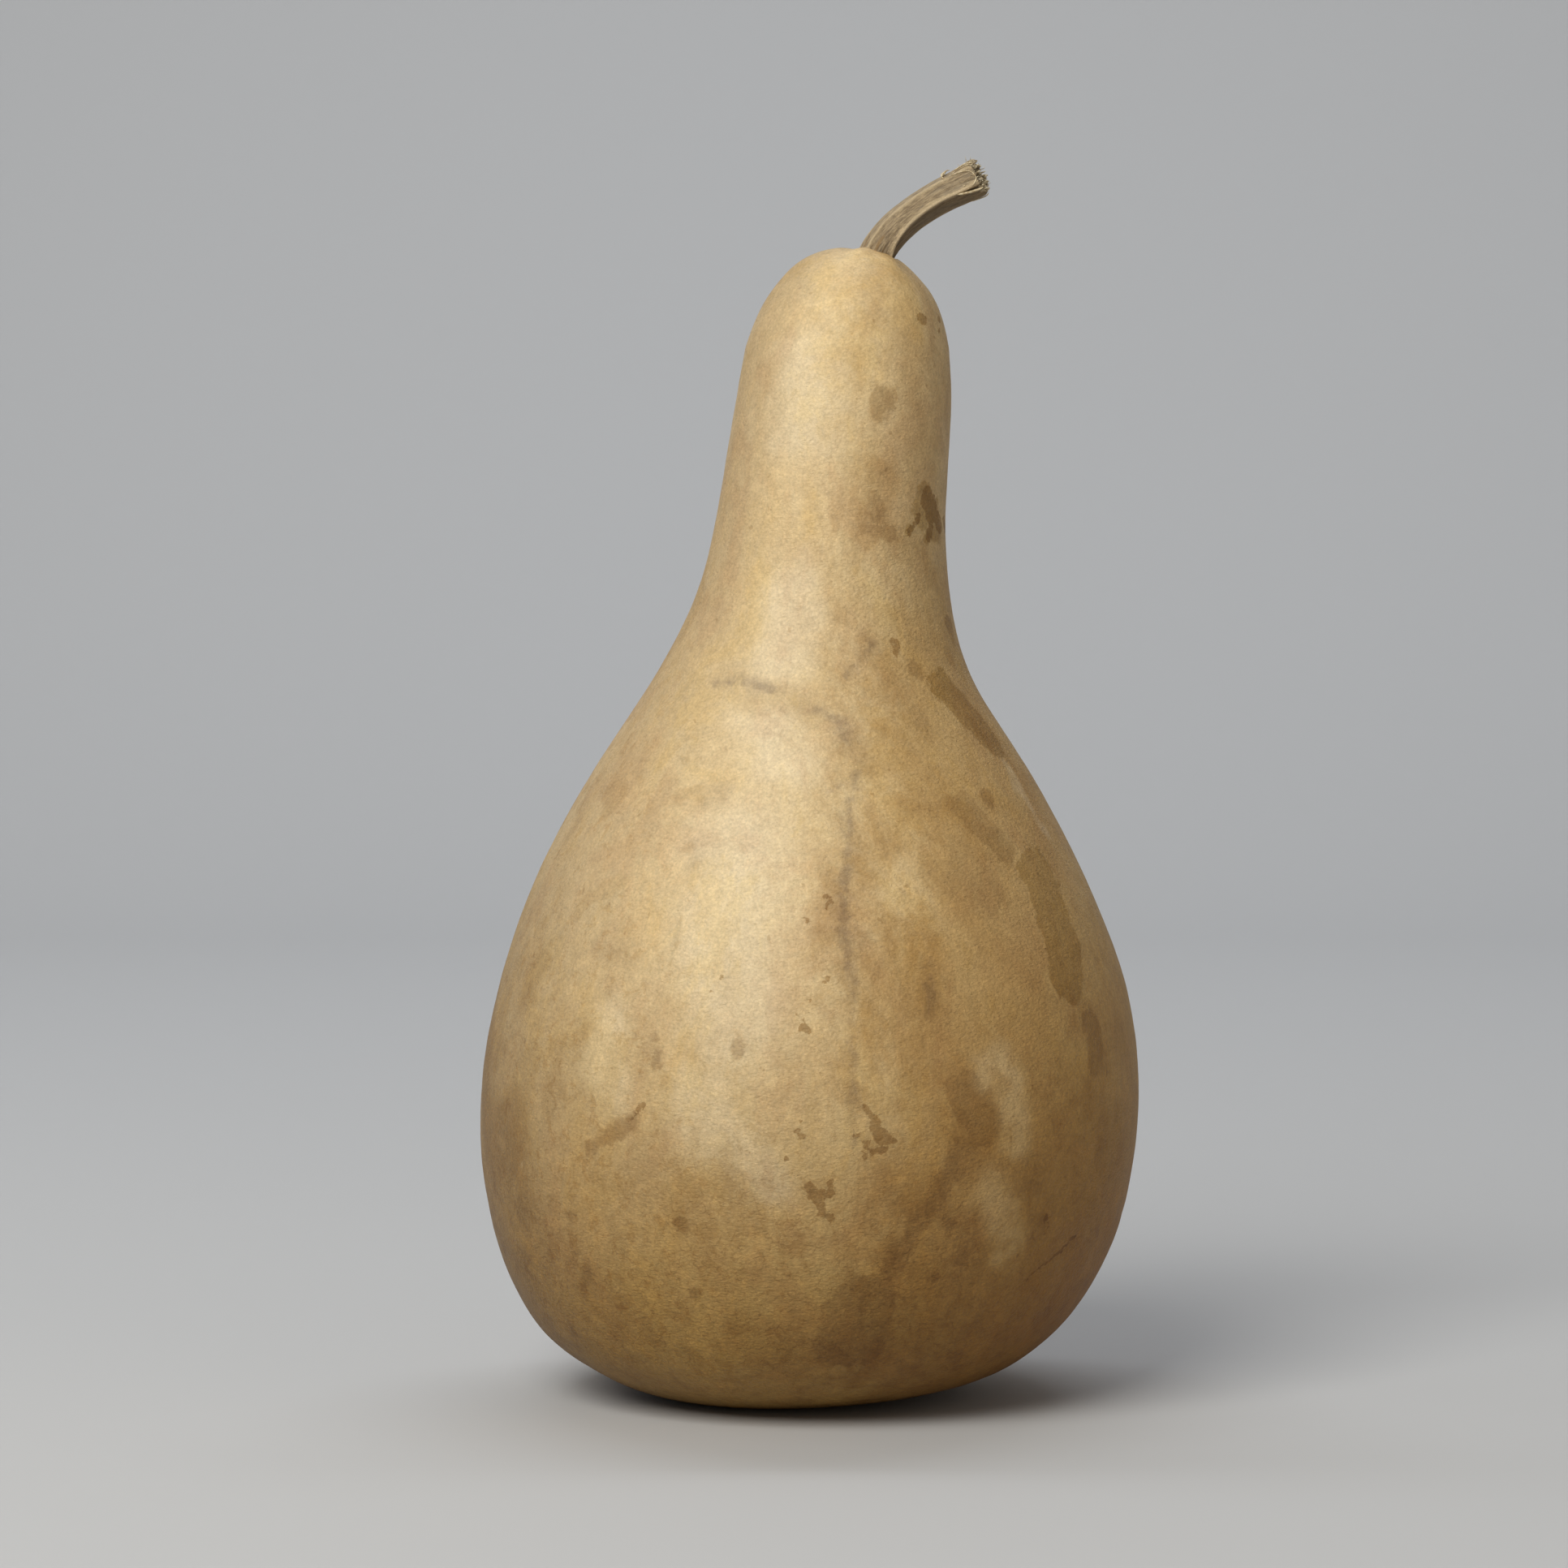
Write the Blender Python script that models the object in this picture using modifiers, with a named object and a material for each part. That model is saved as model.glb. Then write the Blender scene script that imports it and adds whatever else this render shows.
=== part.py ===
"""A dried bottle gourd that stands on its own small flat spot, with its dry stem.

Units are metres and +Z is up.  The origin is the middle of the flat spot, +X is
the side that the stem bends towards, and -Y is the side that faces the viewer.
"""
import math

import bmesh
import bpy
import numpy as np
from mathutils import Vector

MM = 0.001

# ---- driving dimensions, in millimetres -------------------------------------------
BELLY_SHIFT = 9.0        # the belly's middle lies this far to +X of the flat spot's middle
DEPTH_RATIO = 0.98       # front-to-back width of the body over its side-to-side width
NECK_LEAN = 3.0          # the neck leans back this far by the time it reaches the crown
LOBE_DEPTH = 0.010       # three soft lobes swell the belly by this share of its radius
BODY_HEIGHT = 287.0      # floor to crown
SAG = 3.0                # the rounded underside would reach this far below its flat spot
CAGE_SIDES = 12          # sides of the coarse cage that Subdivision Surface rounds off
CAGE_LEVELS = 2

# Height, left edge and right edge of the skin, measured from the belly's middle line.
BODY_STATIONS = (
    (0.8, -39.5, 22.5),     # just outside the flat spot
    (6.0, -53.4, 46.0),     # underside
    (14.0, -65.6, 59.6),
    (26.0, -74.0, 69.8),    # heel of the belly
    (46.0, -80.8, 79.0),
    (74.0, -82.9, 82.8),    # widest ring
    (104.0, -78.0, 79.2),
    (134.0, -67.0, 67.3),   # shoulder of the belly
    (160.0, -52.4, 52.6),
    (180.0, -39.2, 40.4),   # where the belly turns into the neck
    (200.0, -29.0, 35.3),   # waist
    (222.0, -23.6, 33.9),
    (246.0, -19.2, 35.4),   # swell of the neck
    (264.0, -15.4, 34.6),
    (276.0, -9.8, 30.4),
    (284.0, -2.4, 22.8),    # crown
)
CROWN_RING = (286.8, 6.5, 17.5)     # rim of the dimple that the stem grows out of
UNDER_POLE_X = -9.0                 # lowest point of the rounded underside, before the cut
DIMPLE_X = 14.5
DIMPLE_DEPTH = 2.6

# The stem's middle line, from the bottom of its socket to its cut end: (x, y, z).
STEM_PATH = (
    (14.6, 3.0, 281.2),
    (16.5, 2.7, 285.4),
    (19.1, 2.4, 289.6),
    (22.7, 2.0, 293.4),
    (27.2, 1.4, 296.8),
    (32.1, 0.5, 299.7),
    (37.3, -0.7, 302.2),
    (42.4, -2.4, 304.7),
)
STEM_RADII = (4.7, 4.8, 4.6, 4.5, 4.5, 4.6, 4.9, 5.4)
STEM_RIBS = 5
RIB_TURN = math.radians(30)      # turn of the ribs about the stem at its foot
RIB_TWIST = math.radians(18)     # further turn by the time they reach the cut end
RIB_HEIGHT = 0.09        # the ribs stand out by this share of the stem's radius
POINTS_PER_RIB = 5
SOCKET_GAP = 0.3         # clearance between the stem's foot and its socket in the body


def clear_scene():
    for item in list(bpy.data.objects):
        bpy.data.objects.remove(item, do_unlink=True)


def make_collection(name):
    group = bpy.data.collections.new(name)
    bpy.context.scene.collection.children.link(group)
    return group


def make_material(name, colour, roughness, metallic=0.0):
    material = bpy.data.materials.new(name)
    material.use_nodes = True
    shader = material.node_tree.nodes["Principled BSDF"]
    shader.inputs["Base Color"].default_value = (*colour, 1.0)
    shader.inputs["Roughness"].default_value = roughness
    shader.inputs["Metallic"].default_value = metallic
    material.diffuse_color = (*colour, 1.0)
    return material


def cage_rows():
    """Rows of cage numbers (height, middle, half width) whose smoothed surface meets the stations.

    Subdivision draws every cage ring towards its neighbours by the weights 1, 4 and 1, and
    towards its own middle by the rounding factor, so the cage is solved for the rings that
    land on the stations after both.
    """
    stations = BODY_STATIONS + (CROWN_RING,)
    wanted = [(-SAG, UNDER_POLE_X, 0.0)]
    wanted += [(z, (left + right) / 2, (right - left) / 2) for z, left, right in stations]
    wanted += [(BODY_HEIGHT - DIMPLE_DEPTH, DIMPLE_X, 0.0)]
    wanted = np.array(wanted)
    count = len(wanted)
    weights = np.eye(count)
    for row in range(1, count - 1):
        weights[row, row - 1:row + 2] = (1 / 6, 4 / 6, 1 / 6)
    rows = np.linalg.solve(weights, wanted)
    rounding = (2 + math.cos(2 * math.pi / CAGE_SIDES)) / 3
    rows[:, 2] /= rounding
    return rows


def cage_ring(height, middle, half_width):
    """One ring of the cage, a slightly oval hoop with three soft lobes."""
    lean = NECK_LEAN * max(height / BODY_HEIGHT, 0.0) ** 2
    points = []
    for side in range(CAGE_SIDES):
        angle = 2 * math.pi * side / CAGE_SIDES
        radius = half_width * (1 + LOBE_DEPTH * math.sin(3 * angle))
        x = BELLY_SHIFT + middle + radius * math.cos(angle)
        y = lean + DEPTH_RATIO * radius * math.sin(angle)
        points.append(Vector((x, y, height)) * MM)
    return points


def make_body(group, material):
    rows = cage_rows()
    cage = bmesh.new()
    rings = [[cage.verts.new(p) for p in cage_ring(*row)] for row in rows[1:-1]]
    poles = []
    for height, middle, _ in (rows[0], rows[-1]):
        lean = NECK_LEAN * max(height / BODY_HEIGHT, 0.0) ** 2
        poles.append(cage.verts.new(Vector((BELLY_SHIFT + middle, lean, height)) * MM))
    for lower, upper in zip(rings, rings[1:]):
        for a in range(CAGE_SIDES):
            b = (a + 1) % CAGE_SIDES
            cage.faces.new((lower[a], lower[b], upper[b], upper[a]))
    for a in range(CAGE_SIDES):
        b = (a + 1) % CAGE_SIDES
        cage.faces.new((poles[0], rings[0][b], rings[0][a]))
        cage.faces.new((poles[1], rings[-1][a], rings[-1][b]))
    mesh = bpy.data.meshes.new("gourd_body")
    cage.to_mesh(mesh)
    cage.free()
    mesh.materials.append(material)
    mesh.shade_smooth()
    body = bpy.data.objects.new("gourd_body", mesh)
    group.objects.link(body)
    rounding = body.modifiers.new("Rounding", "SUBSURF")
    rounding.levels = CAGE_LEVELS
    rounding.render_levels = CAGE_LEVELS
    return body


def make_ground_cutter(group):
    """A slab whose top face lies at z = 0; it takes the flat spot off the underside."""
    width = 200 * MM
    depth = 40 * MM
    bpy.ops.mesh.primitive_cube_add(size=1.0, location=(0, 0, -depth / 2))
    slab = bpy.context.active_object
    slab.name = "ground_cutter"
    slab.dimensions = (width, width, depth)
    bpy.ops.object.transform_apply(location=False, rotation=False, scale=True)
    move_to(slab, group)
    return slab


def move_to(item, group):
    for owner in list(item.users_collection):
        owner.objects.unlink(item)
    group.objects.link(item)


def make_rib_profile(group, grow):
    """Closed outline of the stem for a radius of one, with `grow` added all round (millimetres)."""
    curve = bpy.data.curves.new("rib_profile", "CURVE")
    curve.dimensions = "2D"
    spline = curve.splines.new("POLY")
    total = STEM_RIBS * POINTS_PER_RIB
    spline.points.add(total - 1)
    mean_radius = sum(STEM_RADII) / len(STEM_RADII)
    for index in range(total):
        angle = 2 * math.pi * index / total
        radius = 1 - RIB_HEIGHT / 2 + RIB_HEIGHT / 2 * math.cos(STEM_RIBS * angle)
        radius += grow / mean_radius
        x = radius * math.cos(angle) * MM
        y = radius * math.sin(angle) * MM
        spline.points[index].co = (x, y, 0.0, 1.0)
    spline.use_cyclic_u = True
    profile = bpy.data.objects.new("rib_profile", curve)
    group.objects.link(profile)
    return profile


def sweep_stem(name, group, guides, path, radii, grow):
    """Sweep the ribbed outline along the stem's middle line and return the closed mesh object."""
    profile = make_rib_profile(guides, grow)
    curve = bpy.data.curves.new(name, "CURVE")
    curve.dimensions = "3D"
    curve.resolution_u = 4
    curve.twist_mode = "Z_UP"
    curve.bevel_mode = "OBJECT"
    curve.bevel_object = profile
    curve.use_fill_caps = True
    spline = curve.splines.new("BEZIER")
    spline.bezier_points.add(len(path) - 1)
    for index, (point, place, radius) in enumerate(zip(spline.bezier_points, path, radii)):
        x, y, z = place
        point.tilt = RIB_TURN + RIB_TWIST * index / (len(STEM_PATH) - 1)
        point.co = Vector((BELLY_SHIFT + x, y, z)) * MM
        point.radius = radius
        point.handle_left_type = "AUTO"
        point.handle_right_type = "AUTO"
    swept = bpy.data.objects.new(name, curve)
    group.objects.link(swept)
    bpy.context.view_layer.update()
    evaluated = swept.evaluated_get(bpy.context.evaluated_depsgraph_get())
    mesh = bpy.data.meshes.new_from_object(evaluated)
    weld = bmesh.new()
    weld.from_mesh(mesh)
    bmesh.ops.remove_doubles(weld, verts=weld.verts, dist=0.01 * MM)
    bmesh.ops.recalc_face_normals(weld, faces=weld.faces)
    weld.to_mesh(mesh)
    weld.free()
    solid = bpy.data.objects.new(name, mesh)
    solid.matrix_world = swept.matrix_world
    bpy.data.objects.remove(swept, do_unlink=True)
    bpy.data.objects.remove(profile, do_unlink=True)
    solid.name = name
    mesh.name = name
    group.objects.link(solid)
    return solid


def make_stem(group, guides, material):
    stem = sweep_stem("stem", group, guides, STEM_PATH, STEM_RADII, 0.0)
    stem.data.materials.clear()
    stem.data.materials.append(material)
    return stem


def make_socket_cutter(group):
    """The stem's foot, fatter and deeper by the clearance, up to just above the crown."""
    foot = Vector(STEM_PATH[0])
    run = (Vector(STEM_PATH[1]) - foot).normalized()
    path = (tuple(foot - run * SOCKET_GAP),) + STEM_PATH[1:4]
    return sweep_stem("socket_cutter", group, group, path, STEM_RADII[:4], SOCKET_GAP)


def cut(body, cutter):
    cutter.hide_render = True
    cutter.display_type = "WIRE"
    boolean = body.modifiers.new("Cut by " + cutter.name, "BOOLEAN")
    boolean.operation = "DIFFERENCE"
    boolean.solver = "EXACT"
    boolean.object = cutter


def main():
    clear_scene()
    parts = make_collection("dried_gourd")
    cutters = make_collection("cutters")
    skin = make_material("gourd_skin", (0.50, 0.36, 0.18), 0.48)
    wood = make_material("stem_wood", (0.30, 0.22, 0.12), 0.75)
    body = make_body(parts, skin)
    make_stem(parts, cutters, wood)
    cut(body, make_ground_cutter(cutters))
    cut(body, make_socket_cutter(cutters))


main()
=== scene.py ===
# %% [markdown]
# # Finishing a dried bottle gourd
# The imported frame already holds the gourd's true size: one solid for the fruit and one
# for its stem.  Those solids are plain.  This lesson grows a detailed skin and a ribbed,
# frayed stem over them, stains and weathers both, and sets up a small photo studio.
# Everything is in metres, +Z is up and the gourd stands on the floor at the origin.

# %% Load the frame
import math

import bmesh
import bpy
import numpy as np
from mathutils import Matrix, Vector, noise
from mathutils.bvhtree import BVHTree


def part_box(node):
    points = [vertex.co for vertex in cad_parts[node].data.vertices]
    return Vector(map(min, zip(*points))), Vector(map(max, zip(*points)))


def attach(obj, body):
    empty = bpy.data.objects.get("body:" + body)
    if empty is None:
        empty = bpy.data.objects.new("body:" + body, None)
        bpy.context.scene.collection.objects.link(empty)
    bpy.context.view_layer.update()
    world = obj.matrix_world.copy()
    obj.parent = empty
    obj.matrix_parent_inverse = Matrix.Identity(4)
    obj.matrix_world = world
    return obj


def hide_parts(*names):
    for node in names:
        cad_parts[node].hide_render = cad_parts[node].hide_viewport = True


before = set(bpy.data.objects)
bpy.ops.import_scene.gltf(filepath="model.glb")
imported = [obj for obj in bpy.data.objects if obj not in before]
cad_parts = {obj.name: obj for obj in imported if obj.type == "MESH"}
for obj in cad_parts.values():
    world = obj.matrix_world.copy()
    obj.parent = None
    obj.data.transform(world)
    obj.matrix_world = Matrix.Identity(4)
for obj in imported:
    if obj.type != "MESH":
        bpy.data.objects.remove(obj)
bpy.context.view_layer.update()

MM = 0.001
print("frame nodes:", sorted(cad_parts))

# %% [markdown]
# ## The camera
# A long lens from a little over a metre away keeps the belly from bulging towards the
# viewer.  It could be aimed with a Track To constraint, but a still life is set up by
# height and tilt, so the camera gets a place and one rotation.  It stands at two thirds
# of the gourd's height and looks down by two degrees.

# %% Set up the camera
CAMERA_PLACE = Vector((2.5, -1200.0, 200.0)) * MM
CAMERA_TILT = math.radians(2.24)
LENS, SENSOR_WIDTH = 110.0, 36.0     # millimetres


def placed(name, data):
    """A new object with this data, linked into the scene."""
    made = bpy.data.objects.new(name, data)
    bpy.context.scene.collection.objects.link(made)
    return made


camera_data = bpy.data.cameras.new("camera")
camera_data.lens = LENS
camera_data.sensor_width = SENSOR_WIDTH
camera = placed("camera", camera_data)
camera.location = CAMERA_PLACE
camera.rotation_euler = (math.radians(90) - CAMERA_TILT, 0.0, 0.0)
bpy.context.scene.camera = camera
print("camera at", tuple(round(c, 3) for c in camera.location))

# %% [markdown]
# ## The fruit's skin: following the frame
# The frame's body is made of flat facets several millimetres wide.  A Shrinkwrap or a
# Remesh modifier could cover it, but neither gives rows that run round the fruit and
# columns that run from the resting spot to the stem, the way a real gourd grows.  So the
# skin is cast: rays leave a spine inside the solid, each one stops at the frame's
# surface, and the lengths of the rays are blurred until no facet is left.  The columns
# stand closer together at the front, where the small stains need more points.

# %% Rays from a spine to the frame's surface
COLUMNS = 288               # around the fruit
ROWS = 330                  # from the resting spot to the stem
CROWDING = 0.6              # 0 spaces the columns evenly, 1 would let them touch at the front
RAYS_UNDER, RAYS_SIDE, RAYS_CROWN = 240, 520, 220

body_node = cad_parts["gourd_body"]
body_tree = BVHTree.FromPolygons(
    [v.co.copy() for v in body_node.data.vertices],
    [tuple(p.vertices) for p in body_node.data.polygons],
)
body_low, body_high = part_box("gourd_body")
belly_middle = (body_low.x + body_high.x) / 2
body_height = body_high.z

spine_foot = Vector((belly_middle, 0.0, 0.16 * body_height))
spine_head = Vector((belly_middle + 9.6 * MM, 2.5 * MM, 0.913 * body_height))
stem_foot = Vector((23.6, 3.0, 281.2)) * MM
stem_run = (Vector((25.5, 2.7, 285.4)) * MM - stem_foot).normalized()
crown_aim = (stem_foot + stem_run * 4 * MM - spine_head).normalized()

even_turns = 2 * math.pi * np.arange(COLUMNS) / COLUMNS
bearings = even_turns + CROWDING * np.sin(even_turns)
outward = np.stack([np.sin(bearings), np.cos(bearings), np.zeros(COLUMNS)], 1)


def ray_plan():
    """Starts and tilts of the rays of one column, from straight down to the stem."""
    foot, head = np.array(spine_foot), np.array(spine_head)
    under = [(foot, tilt) for tilt in np.linspace(-90, 0, RAYS_UNDER, endpoint=False)]
    climb = np.linspace(0, 1, RAYS_SIDE, endpoint=False)
    side = [(foot + (head - foot) * share, 0.0) for share in climb]
    crown = [(head, tilt) for tilt in np.linspace(0, 90, RAYS_CROWN)]
    return under + side + crown


def cast_columns():
    """Start, direction and length of every ray: arrays of COLUMNS by rays."""
    plan = ray_plan()
    starts = np.array([start for start, _ in plan])
    tilts = np.radians([tilt for _, tilt in plan])
    poles = np.where(tilts[:, None] > 0, np.array(crown_aim), np.array((0.0, 0.0, 1.0)))
    aims = np.cos(tilts)[None, :, None] * outward[:, None, :]
    aims = aims + (np.sin(tilts)[:, None] * poles)[None, :, :]
    aims /= np.linalg.norm(aims, axis=2, keepdims=True)
    lengths = np.zeros(aims.shape[:2])
    for column in range(COLUMNS):
        for ray in range(len(plan)):
            hit = body_tree.ray_cast(Vector(starts[ray]), Vector(aims[column, ray]))
            lengths[column, ray] = hit[3]
    return starts, aims, lengths


ray_starts, ray_aims, ray_lengths = cast_columns()
print("rays cast:", ray_lengths.size, "longest (mm):", round(ray_lengths.max() / MM, 1))

# %% [markdown]
# ## Leaving room for the stem
# Where the stem stands, the frame has a socket, and a ray that falls into it is too long.
# Each column therefore ends where it comes near the stem, and the last good length is
# held beyond that, so that the blur has nothing wrong to mix in.

# %% Stop at the stem, blur the facets away and space the rows evenly
COLLAR = 6.0 * MM            # the skin ends this far from the stem's middle line
FACET_BLUR = (8.0, 9.0)      # in columns and in rays


def from_stem(points):
    """Distance of points from the line that the stem leaves along."""
    offset = points - np.array(stem_foot)
    along = offset @ np.array(stem_run)
    return np.linalg.norm(offset - along[..., None] * np.array(stem_run), axis=-1)


def blurred(grid, sigma, axis, wraps):
    """Gaussian blur of a grid along one axis."""
    reach = int(3 * sigma)
    shifts = np.arange(-reach, reach + 1)
    weights = np.exp(-0.5 * (shifts / sigma) ** 2)
    weights /= weights.sum()
    pad = [(0, 0)] * grid.ndim
    pad[axis] = (reach, reach)
    padded = np.pad(grid, pad, mode="wrap" if wraps else "edge")
    size = grid.shape[axis]
    parts = [np.take(padded, range(k, k + size), axis) * w for k, w in enumerate(weights)]
    return sum(parts)


def even_rows(line, count):
    """The same line with `count` points at equal distances along it."""
    steps = np.linalg.norm(np.diff(line, axis=0), axis=1)
    travelled = np.concatenate([[0], np.cumsum(steps)])
    wanted = np.linspace(0, travelled[-1], count)
    return np.stack([np.interp(wanted, travelled, line[:, axis]) for axis in range(3)], 1)


hits = ray_starts[None] + ray_aims * ray_lengths[..., None]
near_stem = (from_stem(hits) < COLLAR) & (hits[..., 2] > 0.95 * body_height)
ends = np.where(near_stem.any(1), near_stem.argmax(1), ray_lengths.shape[1] - 1)
for column, end in enumerate(ends):
    ray_lengths[column, end:] = ray_lengths[column, end - 1]
smooth_lengths = blurred(ray_lengths, FACET_BLUR[0], 0, True)
smooth_lengths = blurred(smooth_lengths, FACET_BLUR[1], 1, False)
smooth_hits = ray_starts[None] + ray_aims * smooth_lengths[..., None]
skin = np.stack([even_rows(smooth_hits[c, 1:ends[c]], ROWS) for c in range(COLUMNS)])
row_gap = np.linalg.norm(np.diff(skin, axis=1), axis=2).mean()
print("skin rows are", round(row_gap / MM, 2), "mm apart")

# %% [markdown]
# ## Relief
# A gourd's shell is never as true as a turned pot.  It has wide soft hollows, a low
# ridge down its front where two lobes meet, pucker folds round the stem and a few
# scars.  A Displace modifier with a texture could do this, but then the folds round the
# stem would be hard to aim, so each grid point moves along its normal by a sum of
# noises and listed shapes, all in millimetres.  A small dimple underneath is what
# is left of the blossom.

# %% Helpers for noise and for routes on the skin


def noise_at(points, size, seed, octaves=2):
    """Perlin noise from about -1 to 1, with features `size` metres wide."""
    shift = Vector((7.31, -3.17, 11.9)) * seed
    flat = (points.reshape(-1, 3) / size).tolist()
    values = [noise.fractal(Vector(p) + shift, 1.0, 2.0, octaves) for p in flat]
    return np.array(values).reshape(points.shape[:-1])


def drop_on_skin(x, z, front=True, tree=body_tree):
    """The point of the fruit's surface seen at (x, z) millimetres from the front or the back."""
    away = -1.0 if front else 1.0
    start = Vector((x * MM, away * 0.3, z * MM))
    hit = tree.ray_cast(start, Vector((0.0, -away, 0.0)))[0]
    if hit is None:                      # just past the outline: take the nearest point
        hit = tree.find_nearest(Vector((x * MM, 0.0, z * MM)))[0]
    return np.array(hit)


def distance_to_route(points, route):
    """Distance of every point from a line of surface points."""
    best = np.linalg.norm(points - route[0], axis=-1)
    for a, b in zip(route, route[1:]):
        run = b - a
        share = np.clip(((points - a) @ run) / (run @ run), 0, 1)
        gap = np.linalg.norm(points - a - share[..., None] * run, axis=-1)
        best = np.minimum(best, gap)
    return best


def bell(distance, width):
    return np.exp(-((distance / width) ** 2))


def surface_normals(grid):
    across = np.roll(grid, -1, 0) - np.roll(grid, 1, 0)
    along = np.gradient(grid, axis=1)
    normals = np.cross(along, across)
    return normals / np.linalg.norm(normals, axis=2, keepdims=True)


print("relief helpers are ready")

# %% Raise and sink the skin
HOLLOWS = ((0.55, 52.0, 2), (0.13, 17.0, 3), (0.045, 5.5, 4))    # height, width, seed
LEFT_CRACK = [(-33, 89.5), (-31.5, 87), (-31, 84.5)]
RIGHT_CRACK = [(73.5, 45), (68, 41), (59, 35)]
SCARS = (                    # route across and up, height and width
    ([(8, 165), (8, 137), (8, 110), (10, 84)], 0.15, 13.0),      # the ridge where lobes meet
    ([(17, 162), (17, 137), (17, 114), (18, 92), (20, 70)], -0.10, 1.8),     # its seam
    ([(12.5, 153), (16, 154.5), (20, 155.5)], -0.22, 1.3),       # a crease across the seam
    (LEFT_CRACK, 0.06, 2.2), (LEFT_CRACK, -0.14, 0.9),           # raised lips, then the crack
    (RIGHT_CRACK, 0.06, 2.2), (RIGHT_CRACK, -0.14, 0.9),
)
FOLDS, FOLD_HEIGHT, FOLD_SINK = 7, 0.20, 0.25      # in a ring round the stem
FOLD_RING, FOLD_SPREAD = 9.0 * MM, 5.0 * MM
FLAT_UNTIL = 6.0 * MM        # the relief grows in over this height, so the gourd stands flat
NAVEL_DEPTH, NAVEL_WIDTH = 0.9 * MM, 4.5 * MM

relief = sum(height * noise_at(skin, width * MM, seed) for height, width, seed in HOLLOWS)
for route, height, width in SCARS:
    gap = distance_to_route(skin, [drop_on_skin(*spot) for spot in route])
    relief += height * bell(gap, width * MM)

crown = np.clip((skin[..., 2] - 0.93 * body_height) / (0.05 * body_height), 0, 1)
around_stem = np.arctan2(skin[..., 1] - stem_foot.y, skin[..., 0] - stem_foot.x)
folds = np.cos(FOLDS * around_stem + 2.2 * noise_at(skin, 14 * MM, 1))
near_ring = bell(from_stem(skin) - FOLD_RING, FOLD_SPREAD)
relief += crown * (FOLD_HEIGHT * folds - FOLD_SINK) * near_ring

relief *= np.clip(skin[..., 2] / FLAT_UNTIL, 0, 1)
skin = skin + surface_normals(skin) * relief[..., None] * MM
skin[..., 2] = np.maximum(skin[..., 2], 0.0)
navel_gap = np.hypot(skin[..., 0] - belly_middle, skin[..., 1])
underneath = skin[..., 2] < 0.1 * body_height
skin[..., 2] += NAVEL_DEPTH * underneath * bell(navel_gap, NAVEL_WIDTH)
print("relief from", round(relief.min(), 2), "to", round(relief.max(), 2), "mm")

# %% [markdown]
# ## Closing the skin
# At the top the skin turns down beside the stem, so no gap shows where they meet.  At
# the bottom one point closes the resting spot.  The mesh also gets a map for baking:
# columns run across it and rows run up it, with the seam at the back.

# %% Make the skin's mesh
COLLAR_STEPS = ((5.3, 0.10), (4.8, -0.15), (4.3, -0.9), (3.2, -2.0))     # radius and rise


def collar_rings(edge):
    """Rings that carry the skin's last row down beside the stem."""
    foot, run = np.array(stem_foot), np.array(stem_run)
    offset = edge - foot
    along = offset @ run
    radial = offset - along[:, None] * run
    radial /= np.linalg.norm(radial, axis=1, keepdims=True)
    rings = []
    for radius, rise in COLLAR_STEPS:
        height = along + rise * MM
        rings.append(foot + height[:, None] * run + radial * radius * MM)
    return np.stack(rings, 1)


def piece_from(name, mesh):
    """Turn a bmesh into a smooth piece in the scene."""
    bmesh.ops.recalc_face_normals(mesh, faces=mesh.faces)
    for face in mesh.faces:
        face.smooth = True
    data = bpy.data.meshes.new(name)
    mesh.to_mesh(data)
    mesh.free()
    return placed(name, data)


def grid_piece(name, grid, low_pole, high_pole):
    """A closed mesh from a grid of columns by rows and its two poles, mapped for baking."""
    columns, rows = grid.shape[:2]
    mesh = bmesh.new()
    verts = [[mesh.verts.new(p) for p in column] for column in grid]
    low, high = mesh.verts.new(low_pole), mesh.verts.new(high_pole)
    layer = mesh.loops.layers.uv.new("OFBake")
    share = 1.0 / (rows + 1)
    for c in range(columns):
        d = (c + 1) % columns
        left, right = c / columns, (c + 1) / columns
        middle = (left + right) / 2
        faces = [((verts[c][0], verts[d][0], low), ((left, share), (right, share), (middle, 0)))]
        for r in range(rows - 1):
            v0, v1 = (r + 1) * share, (r + 2) * share
            corners = (verts[c][r + 1], verts[d][r + 1], verts[d][r], verts[c][r])
            faces.append((corners, ((left, v1), (right, v1), (right, v0), (left, v0))))
        top = (verts[d][-1], verts[c][-1], high)
        faces.append((top, ((right, 1 - share), (left, 1 - share), (middle, 1))))
        for corners, places in faces:
            face = mesh.faces.new(corners)
            for loop, place in zip(face.loops, places):
                loop[layer].uv = place
    return piece_from(name, mesh)


full_skin = np.concatenate([skin, collar_rings(skin[:, -1])], 1)
rest_pole = full_skin[:, 0].mean(0)
stem_pole = full_skin[:, -1].mean(0)
gourd_skin = grid_piece("gourd_skin", full_skin, rest_pole, stem_pole)
print("skin faces:", len(gourd_skin.data.polygons))
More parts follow.
